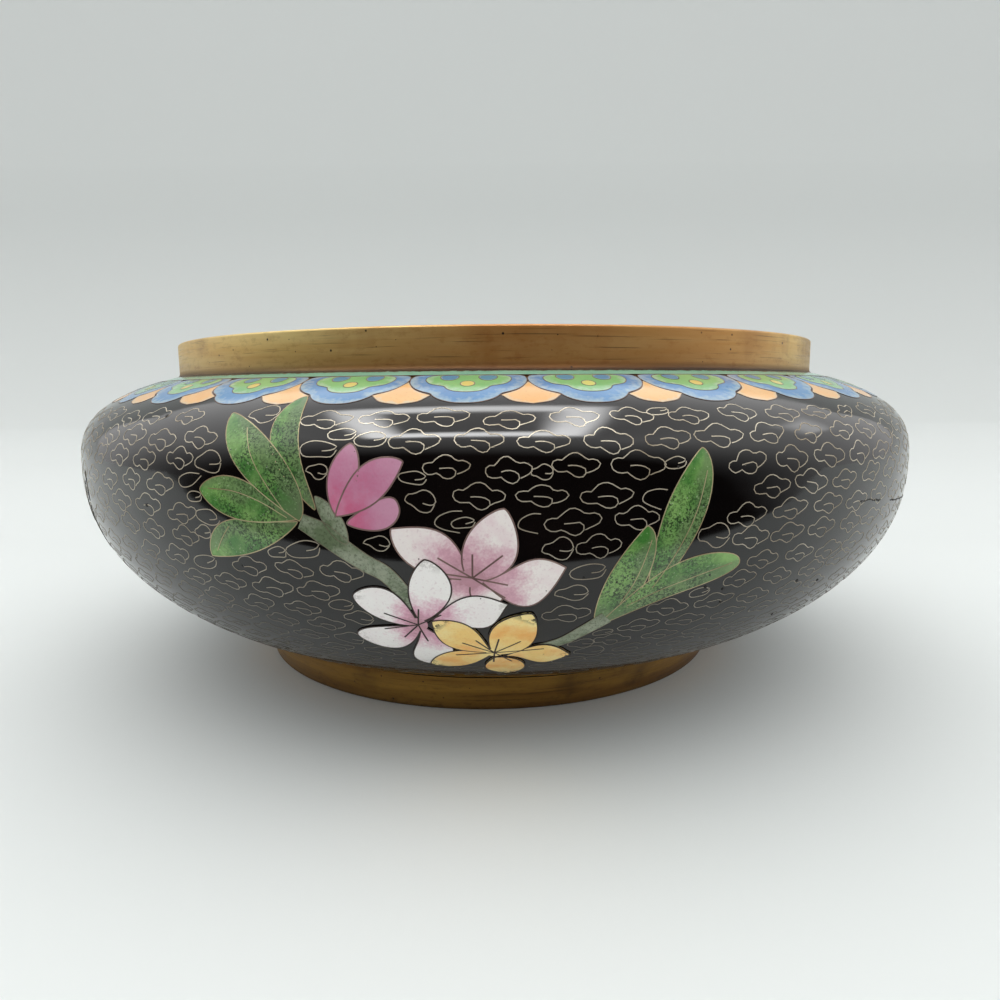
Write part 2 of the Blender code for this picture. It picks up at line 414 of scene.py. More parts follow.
counter_enamel, tree, shader = new_material("counter_enamel", TURQUOISE, 0.16)
holes = math(tree, "MAXIMUM", pinholes(tree, 300.0, 0.0002, 0.12), pinholes(tree, 120.0, 0.0004, 0.06))
clouded = between(tree, noise(tree, 45.0, 5.0), 0.3, 0.75)
paint = mix(tree, clouded, TURQUOISE, DEEP_TURQUOISE)
tree.links.new(mix(tree, holes, paint, colour(20, 50, 56)), shader.inputs["Base Color"])
tree.links.new(between(tree, noise(tree, 60.0, 3.0), 0.3, 0.7, 0.12, 0.24), shader.inputs["Roughness"])
polished(tree, shader, holes)

middle = wall_face(COPPER_MIDDLE + SKIN_GAP, HIDDEN_SPACING)
inner = wall_face(WALL, INSIDE_SPACING)
bowl_inside = make_piece("bowl_inside", *turned(np.concatenate([middle, inner[::-1]]), INSIDE_STEPS),
                         counter_enamel)
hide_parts("enamelled_bowl")
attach(bowl_inside, "root")

# The collar. A band of brass sheet soldered on the shoulder, its edge rounded over and turned in over
# the neck. It was polished while it spun, so its streaks run round. Its front is browned as a painted dark
# reflection, and its foot is darkened as painted shade.
COLLAR_STEPS = 320
COLLAR_EDGE = 0.45 * MM
BRASS = colour(222, 196, 130)
WARM_BRASS = colour(198, 158, 88)
# Painted dark reflection: the brown that the collar's front is darkened to.
REFLECTED_DARK_BRASS = colour(160, 86, 24)
# Smudges, and painted shade low on the band.
SMUDGE_AND_SHADE_BRASS = colour(136, 100, 50)
# Dark dirt in scores and pits, and painted shade at the collar's foot.
DIRT_AND_SHADE_BROWN = colour(36, 24, 16)
BRASS_METALLIC = 0.5
# The collar was soldered on a little low, and this much solder fills the corner at its foot.
COLLAR_LOW = 0.45 * MM
FILLET = 1.0 * MM


def arc(centre, radius, start, end, count):
    """Points of an arc, with its angles in degrees."""
    angle = np.radians(np.linspace(start, end, count))
    return np.stack([centre[0] + radius * np.cos(angle), centre[1] + radius * np.sin(angle)], -1)


def brass_material(name, bright, warm, smudge_and_shade_paint, brown, low, high, front_dark_reflection):
    """Spun brass: streaks and scores round the band, smudges, pits, and a dark seam between two heights,
    partly a dark joint and partly painted shade. The lowest few millimetres are darkened as painted shade
    too.

    The last argument is how far the front, which faces the camera, is browned as a painted dark reflection,
    most of all right of its middle. It fades out sideways.
    """
    made, tree, shader = new_material(name, bright, 0.3, BRASS_METALLIC)
    across, depth, height = add_node(tree, "ShaderNodeSeparateXYZ", {0: object_place(tree)}).outputs
    streaks = noise(tree, 16.0, 5.0, (1, 1, 14), 0.6)
    fine = noise(tree, 70.0, 4.0, (1, 1, 22), 0.7)
    scores = between(tree, noise(tree, 60.0, 3.0, (1, 1, 60), 0.6), 0.61, 0.68, 0.0, 0.5)
    patches = between(tree, noise(tree, 42.0, 4.0, (1, 1, 0.3), 0.6), 0.48, 0.62, 0.0, 0.6)
    mottle = between(tree, noise(tree, 420.0, 4.0, (1, 1, 2), 0.7), 0.52, 0.70, 0.0, 0.3)
    specks = math(tree, "MAXIMUM", pinholes(tree, 270.0, 0.00028, 1.0), pinholes(tree, 420.0, 0.00014, 1.0))
    # Painted shade: a dark band between the two heights, deepening the joint.
    seam_and_shade = between(tree, math(tree, "ADD", height, math(tree, "MULTIPLY", streaks, 0.0014)), high, low)
    facing = math(tree, "SUBTRACT", depth, math(tree, "MULTIPLY", across, 0.2))
    # Painted dark reflection: the part that faces the camera is browned.
    front = between(tree, facing, -0.8 * COLLAR_RADIUS, -COLLAR_RADIUS, 0.0, front_dark_reflection)
    paint = mix(tree, between(tree, streaks, 0.36, 0.66), bright, warm)
    # Painted shade: the band is darker towards its bottom.
    lower = between(tree, height, high + 3.0 * MM, high - 1.0 * MM, 0.0, 0.5)
    smudge_and_shade_share = math(tree, "ADD", math(tree, "MAXIMUM", patches, lower), mottle)
    paint = mix(tree, front, mix(tree, smudge_and_shade_share, paint, smudge_and_shade_paint), brown)
    paint = mix(tree, math(tree, "MAXIMUM", scores, math(tree, "MULTIPLY", seam_and_shade, 0.94)), paint, DIRT_AND_SHADE_BROWN)
    paint = mix(tree, specks, paint, DIRT_AND_SHADE_BROWN)
    tree.links.new(paint, shader.inputs["Base Color"])
    rough = between(tree, fine, 0.3, 0.7, 0.36, 0.50)
    rough = math(tree, "ADD", rough, math(tree, "MULTIPLY", seam_and_shade, 0.25))
    tree.links.new(rough, shader.inputs["Roughness"])
    bump = add_node(tree, "ShaderNodeBump", {"Strength": 0.5, "Distance": 0.00003, "Height": fine})
    tree.links.new(bump.outputs[0], shader.inputs["Normal"])
    return made


SHOULDER_AT_COLLAR = wall_curve(FOOT_TOP_RADIUS, COLLAR_RADIUS)[-1, 1]
collar_inner = COLLAR_RADIUS - COLLAR_WALL
lip_radius = NECK_RADIUS - WALL
collar_top = RIM_HEIGHT - COLLAR_LOW
fillet_foot = wall_curve(FOOT_TOP_RADIUS, COLLAR_RADIUS + FILLET)[-1, 1]
fillet = arc((COLLAR_RADIUS + FILLET, fillet_foot + FILLET), FILLET, 270, 180, 6)
edge_centre = (COLLAR_RADIUS - COLLAR_EDGE, collar_top - COLLAR_EDGE)
lip = arc((lip_radius + 0.5 * MM, collar_top - 0.5 * MM), 0.5 * MM, 90, 180, 6)
band = respaced(np.array([fillet[-1], [COLLAR_RADIUS, edge_centre[1]]]), 0.8 * MM)
collar_section = np.concatenate([
    [[COLLAR_RADIUS + FILLET, fillet_foot - 0.1 * MM]], fillet[:-1], band[:-1],
    arc(edge_centre, COLLAR_EDGE, 0, 90, 8), lip,
    [[lip_radius, collar_top - LIP_THICKNESS], [collar_inner, collar_top - LIP_THICKNESS],
     [collar_inner, wall_curve(FOOT_TOP_RADIUS, collar_inner)[-1, 1] + SEAT_GAP]],
])
# Painted shade over the solder from 0.7 to 1.9 mm above the shoulder, and 0.6 of painted dark reflection.
collar_brass = brass_material("collar_brass", BRASS, WARM_BRASS, SMUDGE_AND_SHADE_BRASS, REFLECTED_DARK_BRASS,
                              SHOULDER_AT_COLLAR + 0.7 * MM, SHOULDER_AT_COLLAR + 1.9 * MM, 0.6)
collar_band = make_piece("collar_band", *turned(collar_section, COLLAR_STEPS, closed=True), collar_brass)
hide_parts("rim_collar")
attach(collar_band, "root")

# The foot ring. A stouter ring of brass, turned with a slight taper and soldered under the bowl, a little
# off its middle. Its top follows the bowl's underside. It is streaked, and browner than the collar: its
# colours are also kept darker as painted shade for the bowl's shadow over it.
FOOT_BOTTOM_RADIUS = 59.3 * MM
FOOT_EDGE = 0.6 * MM
FOOT_HOLLOW = 0.25 * MM
# Painted shade: the foot's colours are kept dark for the shadow under the bowl.
FOOT_BRASS = colour(172, 130, 54)
FOOT_WARM = colour(120, 80, 26)
FOOT_SMUDGE_AND_SHADE = colour(66, 40, 12)
FOOT_ASIDE = -1.8 * MM

run = np.linspace(0, 1, 12)
outer_radius = FOOT_BOTTOM_RADIUS + (FOOT_TOP_RADIUS - FOOT_BOTTOM_RADIUS) * run
outer_radius = outer_radius - FOOT_HOLLOW * np.sin(np.pi * run)
outer_line = np.stack([outer_radius, FOOT_EDGE + (FOOT_HEIGHT - FOOT_EDGE) * run], -1)
inner_bottom = FOOT_BOTTOM_RADIUS - FOOT_WALL
foot_section = np.concatenate([
    arc((inner_bottom + FOOT_EDGE, FOOT_EDGE), FOOT_EDGE, 180, 270, 6),
    arc((FOOT_BOTTOM_RADIUS - FOOT_EDGE, FOOT_EDGE), FOOT_EDGE, 270, 350, 6), outer_line[1:],
    [[FOOT_INNER_RADIUS, BASE_HEIGHT - SEAT_GAP]],
])
# Painted shade along the bottom edge up to 1.6 mm, and 0.4 of painted dark reflection on the front.
foot_brass = brass_material("foot_brass", FOOT_BRASS, FOOT_WARM, FOOT_SMUDGE_AND_SHADE, FOOT_SMUDGE_AND_SHADE,
                            0.0 * MM, 1.6 * MM, 0.4)
foot_points, foot_faces = turned(foot_section, COLLAR_STEPS, closed=True)
foot_points[:, 0] += FOOT_ASIDE
under_radius, under_height = wall_curve(FOOT_INNER_RADIUS, COLLAR_RADIUS)[:WALL_SAMPLES].T
under = np.interp(np.hypot(*foot_points[:, :2].T), under_radius, under_height) - SEAT_GAP
# Each point moves by the misfit of the top above it, times the cube of its share of the ring's height.
foot_points[:, 2] += (under - FOOT_HEIGHT) * (foot_points[:, 2] / FOOT_HEIGHT) ** 3
foot_band = make_piece("foot_band", foot_points, foot_faces, foot_brass)
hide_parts("foot_ring")
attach(foot_band, "root")

# The border on the shoulder. A mint strip against the collar, then 29 cloud-collar lappets in blue and
# green with a yellow eye, and peach fans between them. Each colour is a cell of enamel between wires.
LAPPETS = 29
PITCH = 200 * np.pi / LAPPETS
FIRST_LAPPET = -4.8
WIRE_DEPTH = 0.20
CELL_DEPTH = 0.35
STRIP_EDGE = 4.2
STRIP_DEPTH = 0.3
# Painted shade lies along the collar's foot, where the corner is in shadow, and thins out this far from the
# solder.
CORNER_SHADE_REACH = (0.2 * MM, 1.0 * MM)
HALF_BLUE = [(0, 4.4), (5.4, 4.4), (9.6, 4.6), (10.7, 6.0), (10.5, 8.2), (9.4, 10.2), (7.8, 11.5),
             (6.1, 12.3), (5.4, 13.2), (4.2, 14.2), (2.2, 15.0), (0, 15.2)]
HALF_GREEN = [(0, 4.4), (3.0, 4.4), (6.2, 4.6), (7.7, 5.6), (7.8, 7.2), (6.8, 8.7), (5.4, 9.3), (4.1, 9.8),
              (3.5, 10.7), (2.4, 11.5), (1.2, 11.8), (0, 11.9)]
FAN_SIDE = [(0, 7.8), (1.9, 10.9), (5.0, 12.8)]
FAN_FOOT = [(5.0, 12.8), (3.2, 14.6), (0, 15.4)]
EYE = [(-1.5, 4.9), (0, 4.6), (1.5, 4.9), (1.7, 6.0), (1.0, 7.0), (0, 7.3), (-1.0, 7.0), (-1.7, 6.0)]
EYE_OFFSET = 3.6
# The yellow dot: how far down its middle lies, and half its width and depth.
YELLOW_EYE = (8.7, 1.3, 1.15)
BORDER_BLUE = colour(100, 148, 194)
BORDER_DEEP_BLUE = colour(80, 124, 176)
BORDER_GREEN = colour(124, 184, 118)
BORDER_LIME = colour(148, 198, 130)
BORDER_YELLOW = colour(214, 216, 124)
BORDER_STEEL = colour(86, 140, 178)
BORDER_TEAL = colour(96, 158, 160)
BORDER_PEACH = colour(242, 192, 132)
BORDER_ORANGE = colour(240, 172, 102)
BORDER_MINT = colour(126, 190, 164)
BORDER_PALE_MINT = colour(148, 204, 178)
PALE_RIM = colour(196, 208, 196)

line = wall_curve(FOOT_TOP_RADIUS, COLLAR_RADIUS)[::-1]
LINE_DOWN = np.concatenate([[0], np.cumsum(np.hypot(*np.diff(line, axis=0).T))]) / MM
LINE_RADIUS, LINE_HEIGHT = line.T


def on_wall(across, down, proud):
    """The point on the wall at (across, down), raised along the wall's normal, all in millimetres."""
    angle = across * MM / BELLY_RADIUS
    radius, height = (np.interp(down, LINE_DOWN, values) for values in (LINE_RADIUS, LINE_HEIGHT))
    run_out, run_up = (np.interp(down + 0.2, LINE_DOWN, values) - np.interp(down - 0.2, LINE_DOWN, values)
                       for values in (LINE_RADIUS, LINE_HEIGHT))
    length = np.hypot(run_out, run_up)
    radius = radius - proud * MM * run_up / length
    height = height + proud * MM * run_out / length
    return np.stack(np.broadcast_arrays(radius * np.sin(angle), -radius * np.cos(angle), height), -1)


def smooth_path(points, steps, closed=False):
    """A Catmull-Rom curve through the points, with so many steps from each point to the next."""
    points = np.asarray(points, float)
    if closed:
        padded = np.concatenate([points[-1:], points, points[:2]])
    else:
        padded = np.concatenate([2 * points[:1] - points[1:2], points, 2 * points[-1:] - points[-2:-1]])
    share = np.linspace(0, 1, steps, endpoint=False)[None, :, None]
    a, b, c, d = (padded[first:len(padded) - 3 + first, None] for first in range(4))
    curve = 0.5 * (2 * b + (c - a) * share + (2 * a - 5 * b + 4 * c - d) * share ** 2
                   + (3 * b - a - 3 * c + d) * share ** 3)
    curve = curve.reshape(-1, 2)
    return curve if closed else np.concatenate([curve, points[-1:]])


def mirrored(half):
    """A closed outline from its right half, which runs from the top to the bottom."""
    half = np.array(half, float)
    return np.concatenate([half, half[-2:0:-1] * (-1, 1)])


def slabs(tops, bottoms, faces, loop):
    """Points and faces of many closed slabs, each with the same faces and the same rim.

    tops and bottoms hold (slab, point, xyz). The underside is the top's faces turned over, and the rim
    joins the points of the loop, which runs anticlockwise as seen from outside.
    """
    count = tops.shape[1]
    ahead = np.roll(loop, -1)
    rim = np.stack([loop, loop + count, ahead + count, ahead], -1)
    start = (2 * count * np.arange(len(tops)))[:, None, None]
    made = [(start + part[None]).reshape(-1, part.shape[1])
            for face in faces for part in (face, face[:, ::-1] + count)]
    made.append((start + rim[None]).reshape(-1, 4))
    return np.stack([tops, bottoms], 1).reshape(-1, 3), made


def disc_slabs(outlines, hearts, level, rings):
    """Slabs that fill closed outlines round their hearts. outlines is (slab, point, 2), hearts (slab, 2).

    Each point of an outline is joined to the heart by a straight line with a point at every ring. Also
    gives each point its share of the way out and its share of the turn.
    """
    count = outlines.shape[1]
    share = (np.arange(1, rings + 1) / rings)[None, :, None, None]
    sheet = hearts[:, None, None] + share * (outlines[:, None] - hearts[:, None, None])
    sheet = np.concatenate([hearts[:, None], sheet.reshape(len(outlines), -1, 2)], 1)
    quads = grid_faces(rings, count, closed=True)[:, ::-1] + 1
    start = np.arange(count)
    after = (start + 1) % count
    fan = np.stack([0 * start, start + 1, after + 1], -1)
    loop = 1 + (rings - 1) * count + start
    tops = on_wall(sheet[..., 0], sheet[..., 1], level)
    corner, second, third = tops[0, 0], tops[0, 1], tops[0, 2]
    if np.dot(np.cross(second - corner, third - corner), corner * (1, 1, 0)) < 0:
        quads, fan, loop = quads[:, ::-1], fan[:, ::-1], loop[::-1]
    unders = on_wall(sheet[..., 0], sheet[..., 1], level - CELL_DEPTH)
    points, faces = slabs(tops, unders, [quads, fan], loop)
    out = np.concatenate([[0], np.repeat(share.ravel(), count)])
    turn = np.concatenate([[0], np.tile(start / count, rings)])
    cell_map = np.tile(np.stack([out, turn], -1), (2 * len(outlines), 1))
    return points, faces, cell_map


def wires(paths, width, level, closed=False):
    """Points and faces of flat-topped wires along paths (wire, point, 2), three-sided, with a point below.

    The section's corners are half a width to each side at the level, and one under the middle.
    """
    middle = on_wall(paths[..., 0], paths[..., 1], level)
    above = on_wall(paths[..., 0], paths[..., 1], level + 1.0)
    up = (above - middle) / MM
    if closed:
        along = np.roll(middle, -1, axis=1) - np.roll(middle, 1, axis=1)
    else:
        along = np.gradient(middle, axis=1)
    side = np.cross(along, up)
    side = side / np.linalg.norm(side, axis=-1, keepdims=True) * width * MM / 2
    section = np.stack([middle + side, middle - side, middle - up * WIRE_DEPTH * MM], 2)
    count = paths.shape[1]
    index = np.arange(3 * count).reshape(count, 3)
    if closed:
        index = np.concatenate([index, index[:1]])
    turn = np.roll(index, -1, axis=1)
    quads = np.stack([index[:-1], index[1:], turn[1:], turn[:-1]], -1).reshape(-1, 4)
    start = (3 * count * np.arange(len(paths)))[:, None, None]
    faces = [(start + quads[None]).reshape(-1, 4)]
    if not closed:
        caps = np.stack([index[0], index[-1, ::-1]])
        faces.append((start + caps[None]).reshape(-1, 3))
    return section.reshape(-1, 3), faces


def joined(batches):
    """Several lots of points and faces, and maps where they have them, as one."""
    start = 0
    points, faces, maps = [], [], []
    for batch in batches:
        points.append(batch[0])
        faces += [part + start for part in batch[1]]
        maps += list(batch[2:])
        start += len(batch[0])
    made = (np.concatenate(points), faces)
    return (*made, np.concatenate(maps)) if maps else made


def lay_cells(name, made, material):
    """A piece of enamel cells on the wall."""
    piece = make_piece(name, made[0], made[1], material, cell_map=made[2])
    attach(piece, "root")
    return piece


def lay_wires(name, made, material):
    """A piece of wires on the wall."""
    piece = make_piece(name, *made, material)
    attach(piece, "root")
    return piece


def cell_share(tree, axis):
    """How far along (X) or to the side (Y) of its cell a point lies, from 0 to 1."""
    place = add_node(tree, "ShaderNodeUVMap", uv_map="cell").outputs[0]
    return add_node(tree, "ShaderNodeSeparateXYZ", {0: place}).outputs[axis]


def opaque_enamel(name, plain, other):
    """Opaque enamel: two colours in soft clouds, grains and pinholes, and paler where it meets a wire."""
    made, tree, shader = new_material(name, plain, 0.14)
    drift = between(tree, noise(tree, 160.0, 4.0), 0.35, 0.72, 0.0, 0.6)
    grains = between(tree, noise(tree, 2200.0, 2.0), 0.58, 0.75, 0.0, 0.35)
    holes = pinholes(tree, 500.0, 0.00009, 0.10)
    paint = mix(tree, drift, plain, other)
    uneven = between(tree, noise(tree, 900.0), 0.3, 0.7, -0.12, 0.12)
    thin = math(tree, "ADD", cell_share(tree, "X"), uneven)
    paint = mix(tree, between(tree, thin, 0.78, 1.02, 0.0, 0.5), paint, PALE_RIM)
    paint = mix(tree, grains, paint, tuple(0.65 * part for part in plain[:3]) + (1.0,))
    tree.links.new(mix(tree, holes, paint, colour(30, 26, 24)), shader.inputs["Base Color"])
    polished(tree, shader, holes)
    return made


def wire_material(name, bright, dull, metallic, rough, low_shade_share=0.0):
    """Ground and polished wire: bright metal gone dull in places; below the belly, painted shade."""
    made, tree, shader = new_material(name, bright, rough, metallic)
    patches = between(tree, noise(tree, 130.0, 4.0), 0.35, 0.7)
    height = add_node(tree, "ShaderNodeSeparateXYZ", {0: object_place(tree)}).outputs["Z"]
    # Painted shade: wires low on the belly, which face the floor, are darkened.
    lower = between(tree, height, 0.054, 0.026, 0.0, low_shade_share)
    paint = mix(tree, lower, mix(tree, patches, bright, dull), SHADED_LOW_WIRE)
    tree.links.new(paint, shader.inputs["Base Color"])
    tree.links.new(between(tree, patches, 0, 1, rough, rough + 0.2), shader.inputs["Roughness"])
    return made


# Painted shade: the colour that wires low on the belly are darkened to.
SHADED_LOW_WIRE = colour(98, 94, 88)
# The gilt wire takes 0.78 of the painted shade low on the belly.
gilt_wire = wire_material("gilt_wire", colour(202, 192, 172), colour(158, 144, 122), 0.35, 0.4, 0.78)
brown_wire = wire_material("brown_wire", colour(112, 88, 74), colour(66, 48, 40), 0.3, 0.45)

lappet_places = FIRST_LAPPET + PITCH * np.arange(LAPPETS)
fan_places = lappet_places + PITCH / 2


def depth_share(places):
    """How deep the hand-laid border is at each place: one, less 0.07 in a bell 32 mm wide on the left."""
    return 1 - 0.07 * np.exp(-(((places + 50) / 32) ** 2))


def repeated(outline, places):
    """The same outline at each of several places across, as deep as the border is there."""
    deep = np.stack([1 + 0 * places, depth_share(places)], -1)[:, None]
    return np.asarray(outline)[None] * deep + np.stack([places, 0 * places], -1)[:, None]


def hearts_at(places, down):
    """Hearts at that many millimetres down, one at each place across."""
    return np.stack([places, down * depth_share(places)], -1)


blue_outline = smooth_path(mirrored(HALF_BLUE), 3, closed=True)
green_outline = smooth_path(mirrored(HALF_GREEN), 3, closed=True)
fan_outline = mirrored(np.concatenate([smooth_path(FAN_SIDE, 4)[:-1], smooth_path(FAN_FOOT, 4)]))
eye_outline = smooth_path(EYE, 3, closed=True)
ring_turn = np.linspace(0, 2 * np.pi, 20, endpoint=False)
dot_down, dot_across, dot_deep = YELLOW_EYE
dot_outline = np.stack([dot_across * np.cos(ring_turn), dot_down + dot_deep * np.sin(ring_turn)], -1)
eye_places = np.concatenate([lappet_places - EYE_OFFSET, lappet_places + EYE_OFFSET])

strip_rows = np.linspace(0.0, STRIP_EDGE, 8)
strip_top = on_wall(0 * strip_rows, strip_rows, 0.025)
strip_under = on_wall(0 * strip_rows, strip_rows, -STRIP_DEPTH)
strip_section = np.concatenate([strip_top[::-1], strip_under])[:, 1:] * (-1, 1)
mint = opaque_enamel("mint_enamel", BORDER_MINT, BORDER_PALE_MINT)
tree = mint.node_tree
shader = tree.nodes["Principled BSDF"]
flat = object_place(tree, (1, 1, 0))
out = add_node(tree, "ShaderNodeVectorMath", {0: flat}, operation="LENGTH").outputs[1]
out = math(tree, "ADD", out, between(tree, noise(tree, 700.0, 3.0), 0.3, 0.7, -0.0003, 0.0003))
# Painted shade: the mint is darkened towards dark brown next to the collar's foot.
corner_shade = between(tree, out, *(COLLAR_RADIUS + FILLET + reach for reach in CORNER_SHADE_REACH), 1.0, 0.0)
paint = shader.inputs["Base Color"].links[0].from_socket
tree.links.new(mix(tree, corner_shade, paint, DIRT_AND_SHADE_BROWN), shader.inputs["Base Color"])
border_strip = make_piece("border_strip", *turned(strip_section, OUTSIDE_STEPS, closed=True), mint)
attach(border_strip, "root")

# Each cell: its name and outline, its places across, how far down its heart is, its level, how many rings
# fill it, and its two colours.
border_cells = [
    ("border_fans", fan_outline, fan_places, 12.0, 0.03, 6, BORDER_PEACH, BORDER_ORANGE),
    ("border_blue", blue_outline, lappet_places, 7.6, 0.045, 10, BORDER_BLUE, BORDER_DEEP_BLUE),
    ("border_green", green_outline, lappet_places, 6.6, 0.06, 8, BORDER_GREEN, BORDER_LIME),
    ("border_eyes", eye_outline, eye_places, 6.0, 0.072, 3, BORDER_STEEL, BORDER_TEAL),
    ("border_dots", dot_outline, lappet_places, dot_down, 0.072, 3, BORDER_YELLOW, BORDER_ORANGE),
]
for name, outline, places, heart, level, rings, plain, other in border_cells:
    made = disc_slabs(repeated(outline, places), hearts_at(places, heart), level, rings)
    lay_cells(name, made, opaque_enamel(name, plain, other))

# The wires of the border. Each stands 0.01 mm above the cell that it bounds.
BORDER_WIRE = 0.15
ring_places = np.linspace(-100 * np.pi, 100 * np.pi, 360, endpoint=False)
ring_wire = np.stack([ring_places, 0 * ring_places + STRIP_EDGE + 0.1], -1)[None]
border_wires = joined([
    wires(ring_wire, BORDER_WIRE, 0.09, closed=True),
    wires(repeated(fan_outline, fan_places), BORDER_WIRE, 0.04, closed=True),
    wires(repeated(blue_outline, lappet_places), BORDER_WIRE, 0.055, closed=True),
    wires(repeated(green_outline, lappet_places), BORDER_WIRE, 0.07, closed=True),
    wires(repeated(eye_outline, eye_places), BORDER_WIRE, 0.082, closed=True),
    wires(repeated(dot_outline, lappet_places), BORDER_WIRE, 0.082, closed=True),
])
lay_wires("border_wires", border_wires, brown_wire)

# The leaves. Mottled green enamel, darker in the middle, greyer towards the stem, each leaf a cell with a
# thin gilt wire round it and another for its midrib.
CELL_ROWS = 30
CELL_COLUMNS = 13
TIP_WIDTH = 0.04
LEAF_LEVEL = 0.04
LEVEL_STEP = 0.007
LEAF_WIRE = 0.16
RIB_WIRE = 0.13
RIB_LEVEL = LEAF_LEVEL + 4.5 * LEVEL_STEP
# Each cell is a blade from its base to its tip: (base, tip, widest reach to its left and right, how late
# each reach comes, how full its sides are, how far the blade bows to its left).
LEFT_LEAVES = [
    ((-29.8, 34.7), (-47.8, 41.6), 1.0, 5.0, 0.8, 1.6, 0.7, 1.0),
    ((-30.0, 34.4), (-48.0, 30.6), 2.6, 3.7, 1.4, 1.4, 0.65, 0.1),
    ((-26.7, 32.8), (-32.8, 12.9), 3.3, 1.4, 1.6, 1.2, 0.5, 1.5),
    ((-29.4, 34.6), (-44.9, 17.5), 2.7, 4.3, 1.3, 0.7, 0.75, 0.1),
]
RIGHT_LEAVES = [
    ((23.9, 48.5), (31.4, 24.2), 1.5, 5.0, 1.6, 1.3, 0.65, 2.0),
    ((16.7, 52.6), (22.4, 35.4), 1.0, 5.3, 0.6, 0.9, 0.55, 1.6),
    ((17.5, 53.4), (39.6, 42.3), 3.5, 2.5, 1.5, 1.8, 0.45, 2.2),
]
LEAF_GREEN = colour(66, 120, 52)
LEAF_LIGHT = colour(128, 170, 94)
LEAF_DARK = colour(11, 36, 16)
LEAF_OLIVE = colour(104, 128, 84)
LEAF_GREY = colour(100, 112, 84)
LEAF_FLECK = colour(180, 200, 156)


def blade_outline(cell, count=CELL_ROWS):
    """The left and right edges of a blade, from base to tip.

    A side reaches out from the middle line by its width times sin(pi t^late)^full, where t runs from 0
    at the base to 1 at the tip, and the middle line bows by sin(pi t).
    """
    base, tip, left, right, late_left, late_right, full, bow = cell
    base, tip = np.array(base, float), np.array(tip, float)
    share = (0.5 - 0.5 * np.cos(np.linspace(0, np.pi, count)))[:, None]
    along = (tip - base) / np.hypot(*(tip - base))
    leftward = np.array([along[1], -along[0]])
    centre = base + share * (tip - base) + bow * np.sin(np.pi * share) * leftward
    reach_left = left * np.abs(np.sin(np.pi * share ** late_left)) ** full + TIP_WIDTH
    reach_right = right * np.abs(np.sin(np.pi * share ** late_right)) ** full + TIP_WIDTH
    return centre + reach_left * leftward, centre - reach_right * leftward


def sheet_loop(rows, columns):
    """The numbers of a grid's rim points, anticlockwise as seen from outside."""
    index = np.arange(rows * columns).reshape(rows, columns)
    return np.concatenate([index[:-1, 0], index[-1, :-1], index[:0:-1, -1], index[0, :0:-1]])


def blade_slabs(cells, level):
    """Slabs that fill blades, each a hair above the one before, with (t, side) from 0 to 1 as their map."""
    batches = []
    share = np.linspace(0, 1, CELL_COLUMNS)
    quads = grid_faces(CELL_ROWS, CELL_COLUMNS)
    loop = sheet_loop(CELL_ROWS, CELL_COLUMNS)
    along = 0.5 - 0.5 * np.cos(np.linspace(0, np.pi, CELL_ROWS))
    cell_map = np.stack(np.meshgrid(along, share, indexing="ij"), -1).reshape(-1, 2)
    for number, cell in enumerate(cells):
        left, right = blade_outline(cell)
        sheet = (right[:, None] + share[None, :, None] * (left - right)[:, None]).reshape(1, -1, 2)
        height = level + LEVEL_STEP * number
        tops = on_wall(sheet[..., 0], sheet[..., 1], height)
        unders = on_wall(sheet[..., 0], sheet[..., 1], height - CELL_DEPTH)
        batches.append((*slabs(tops, unders, [quads], loop), np.tile(cell_map, (2, 1))))
    return joined(batches)


def blade_loop(cell):
    """The closed outline of a blade."""
    left, right = blade_outline(cell, 26)
    return np.concatenate([left, right[-2:0:-1]])


def even_points(path, count):
    """A path again with that many points at even distances."""
    run = np.concatenate([[0], np.cumsum(np.hypot(*np.diff(path, axis=0).T))])
    stops = np.linspace(0, run[-1], count)
    return np.stack([np.interp(stops, run, path[:, axis]) for axis in range(2)], -1)


leaf_enamel, tree, shader = new_material("leaf_enamel", LEAF_GREEN, 0.16)
along = cell_share(tree, "X")
clouds = between(tree, noise(tree, 150.0, 4.0, roughness=0.6), 0.40, 0.60)
paint = mix(tree, clouds, LEAF_GREEN, LEAF_LIGHT)
aside = math(tree, "ADD", cell_share(tree, "Y"), between(tree, noise(tree, 200.0), 0.3, 0.7, -0.2, 0.2))
paint = mix(tree, between(tree, aside, 0.55, 0.35, 0.0, 0.7), paint, LEAF_OLIVE)
speck = between(tree, noise(tree, 2500.0, 3.0, roughness=0.75), 0.49, 0.54)
broad = between(tree, noise(tree, 240.0, 3.0), 0.32, 0.52, 0.25)
inner = add_ramp(tree, along, [(0.0, (0.5,) * 3), (0.18, (1,) * 3), (0.62, (0.95,) * 3),
                               (0.92, (0.12,) * 3)])
dark_share = math(tree, "MULTIPLY", math(tree, "MULTIPLY", speck, broad), inner)
paint = mix(tree, math(tree, "MULTIPLY", dark_share, 0.95), paint, LEAF_DARK)
grey_share = add_ramp(tree, along, [(0.0, (0.9,) * 3), (0.3, (0.2,) * 3), (1.0, (0.0,) * 3)])
paint = mix(tree, math(tree, "MULTIPLY", grey_share, 0.8), paint, LEAF_GREY)
pale = between(tree, noise(tree, 2600.0, 2.0), 0.64, 0.72, 0.0, 0.5)
paint = mix(tree, pale, paint, LEAF_FLECK)
holes = pinholes(tree, 380.0, 0.00016, 0.8)
tree.links.new(mix(tree, holes, paint, colour(16, 22, 14)), shader.inputs["Base Color"])
polished(tree, shader, holes)

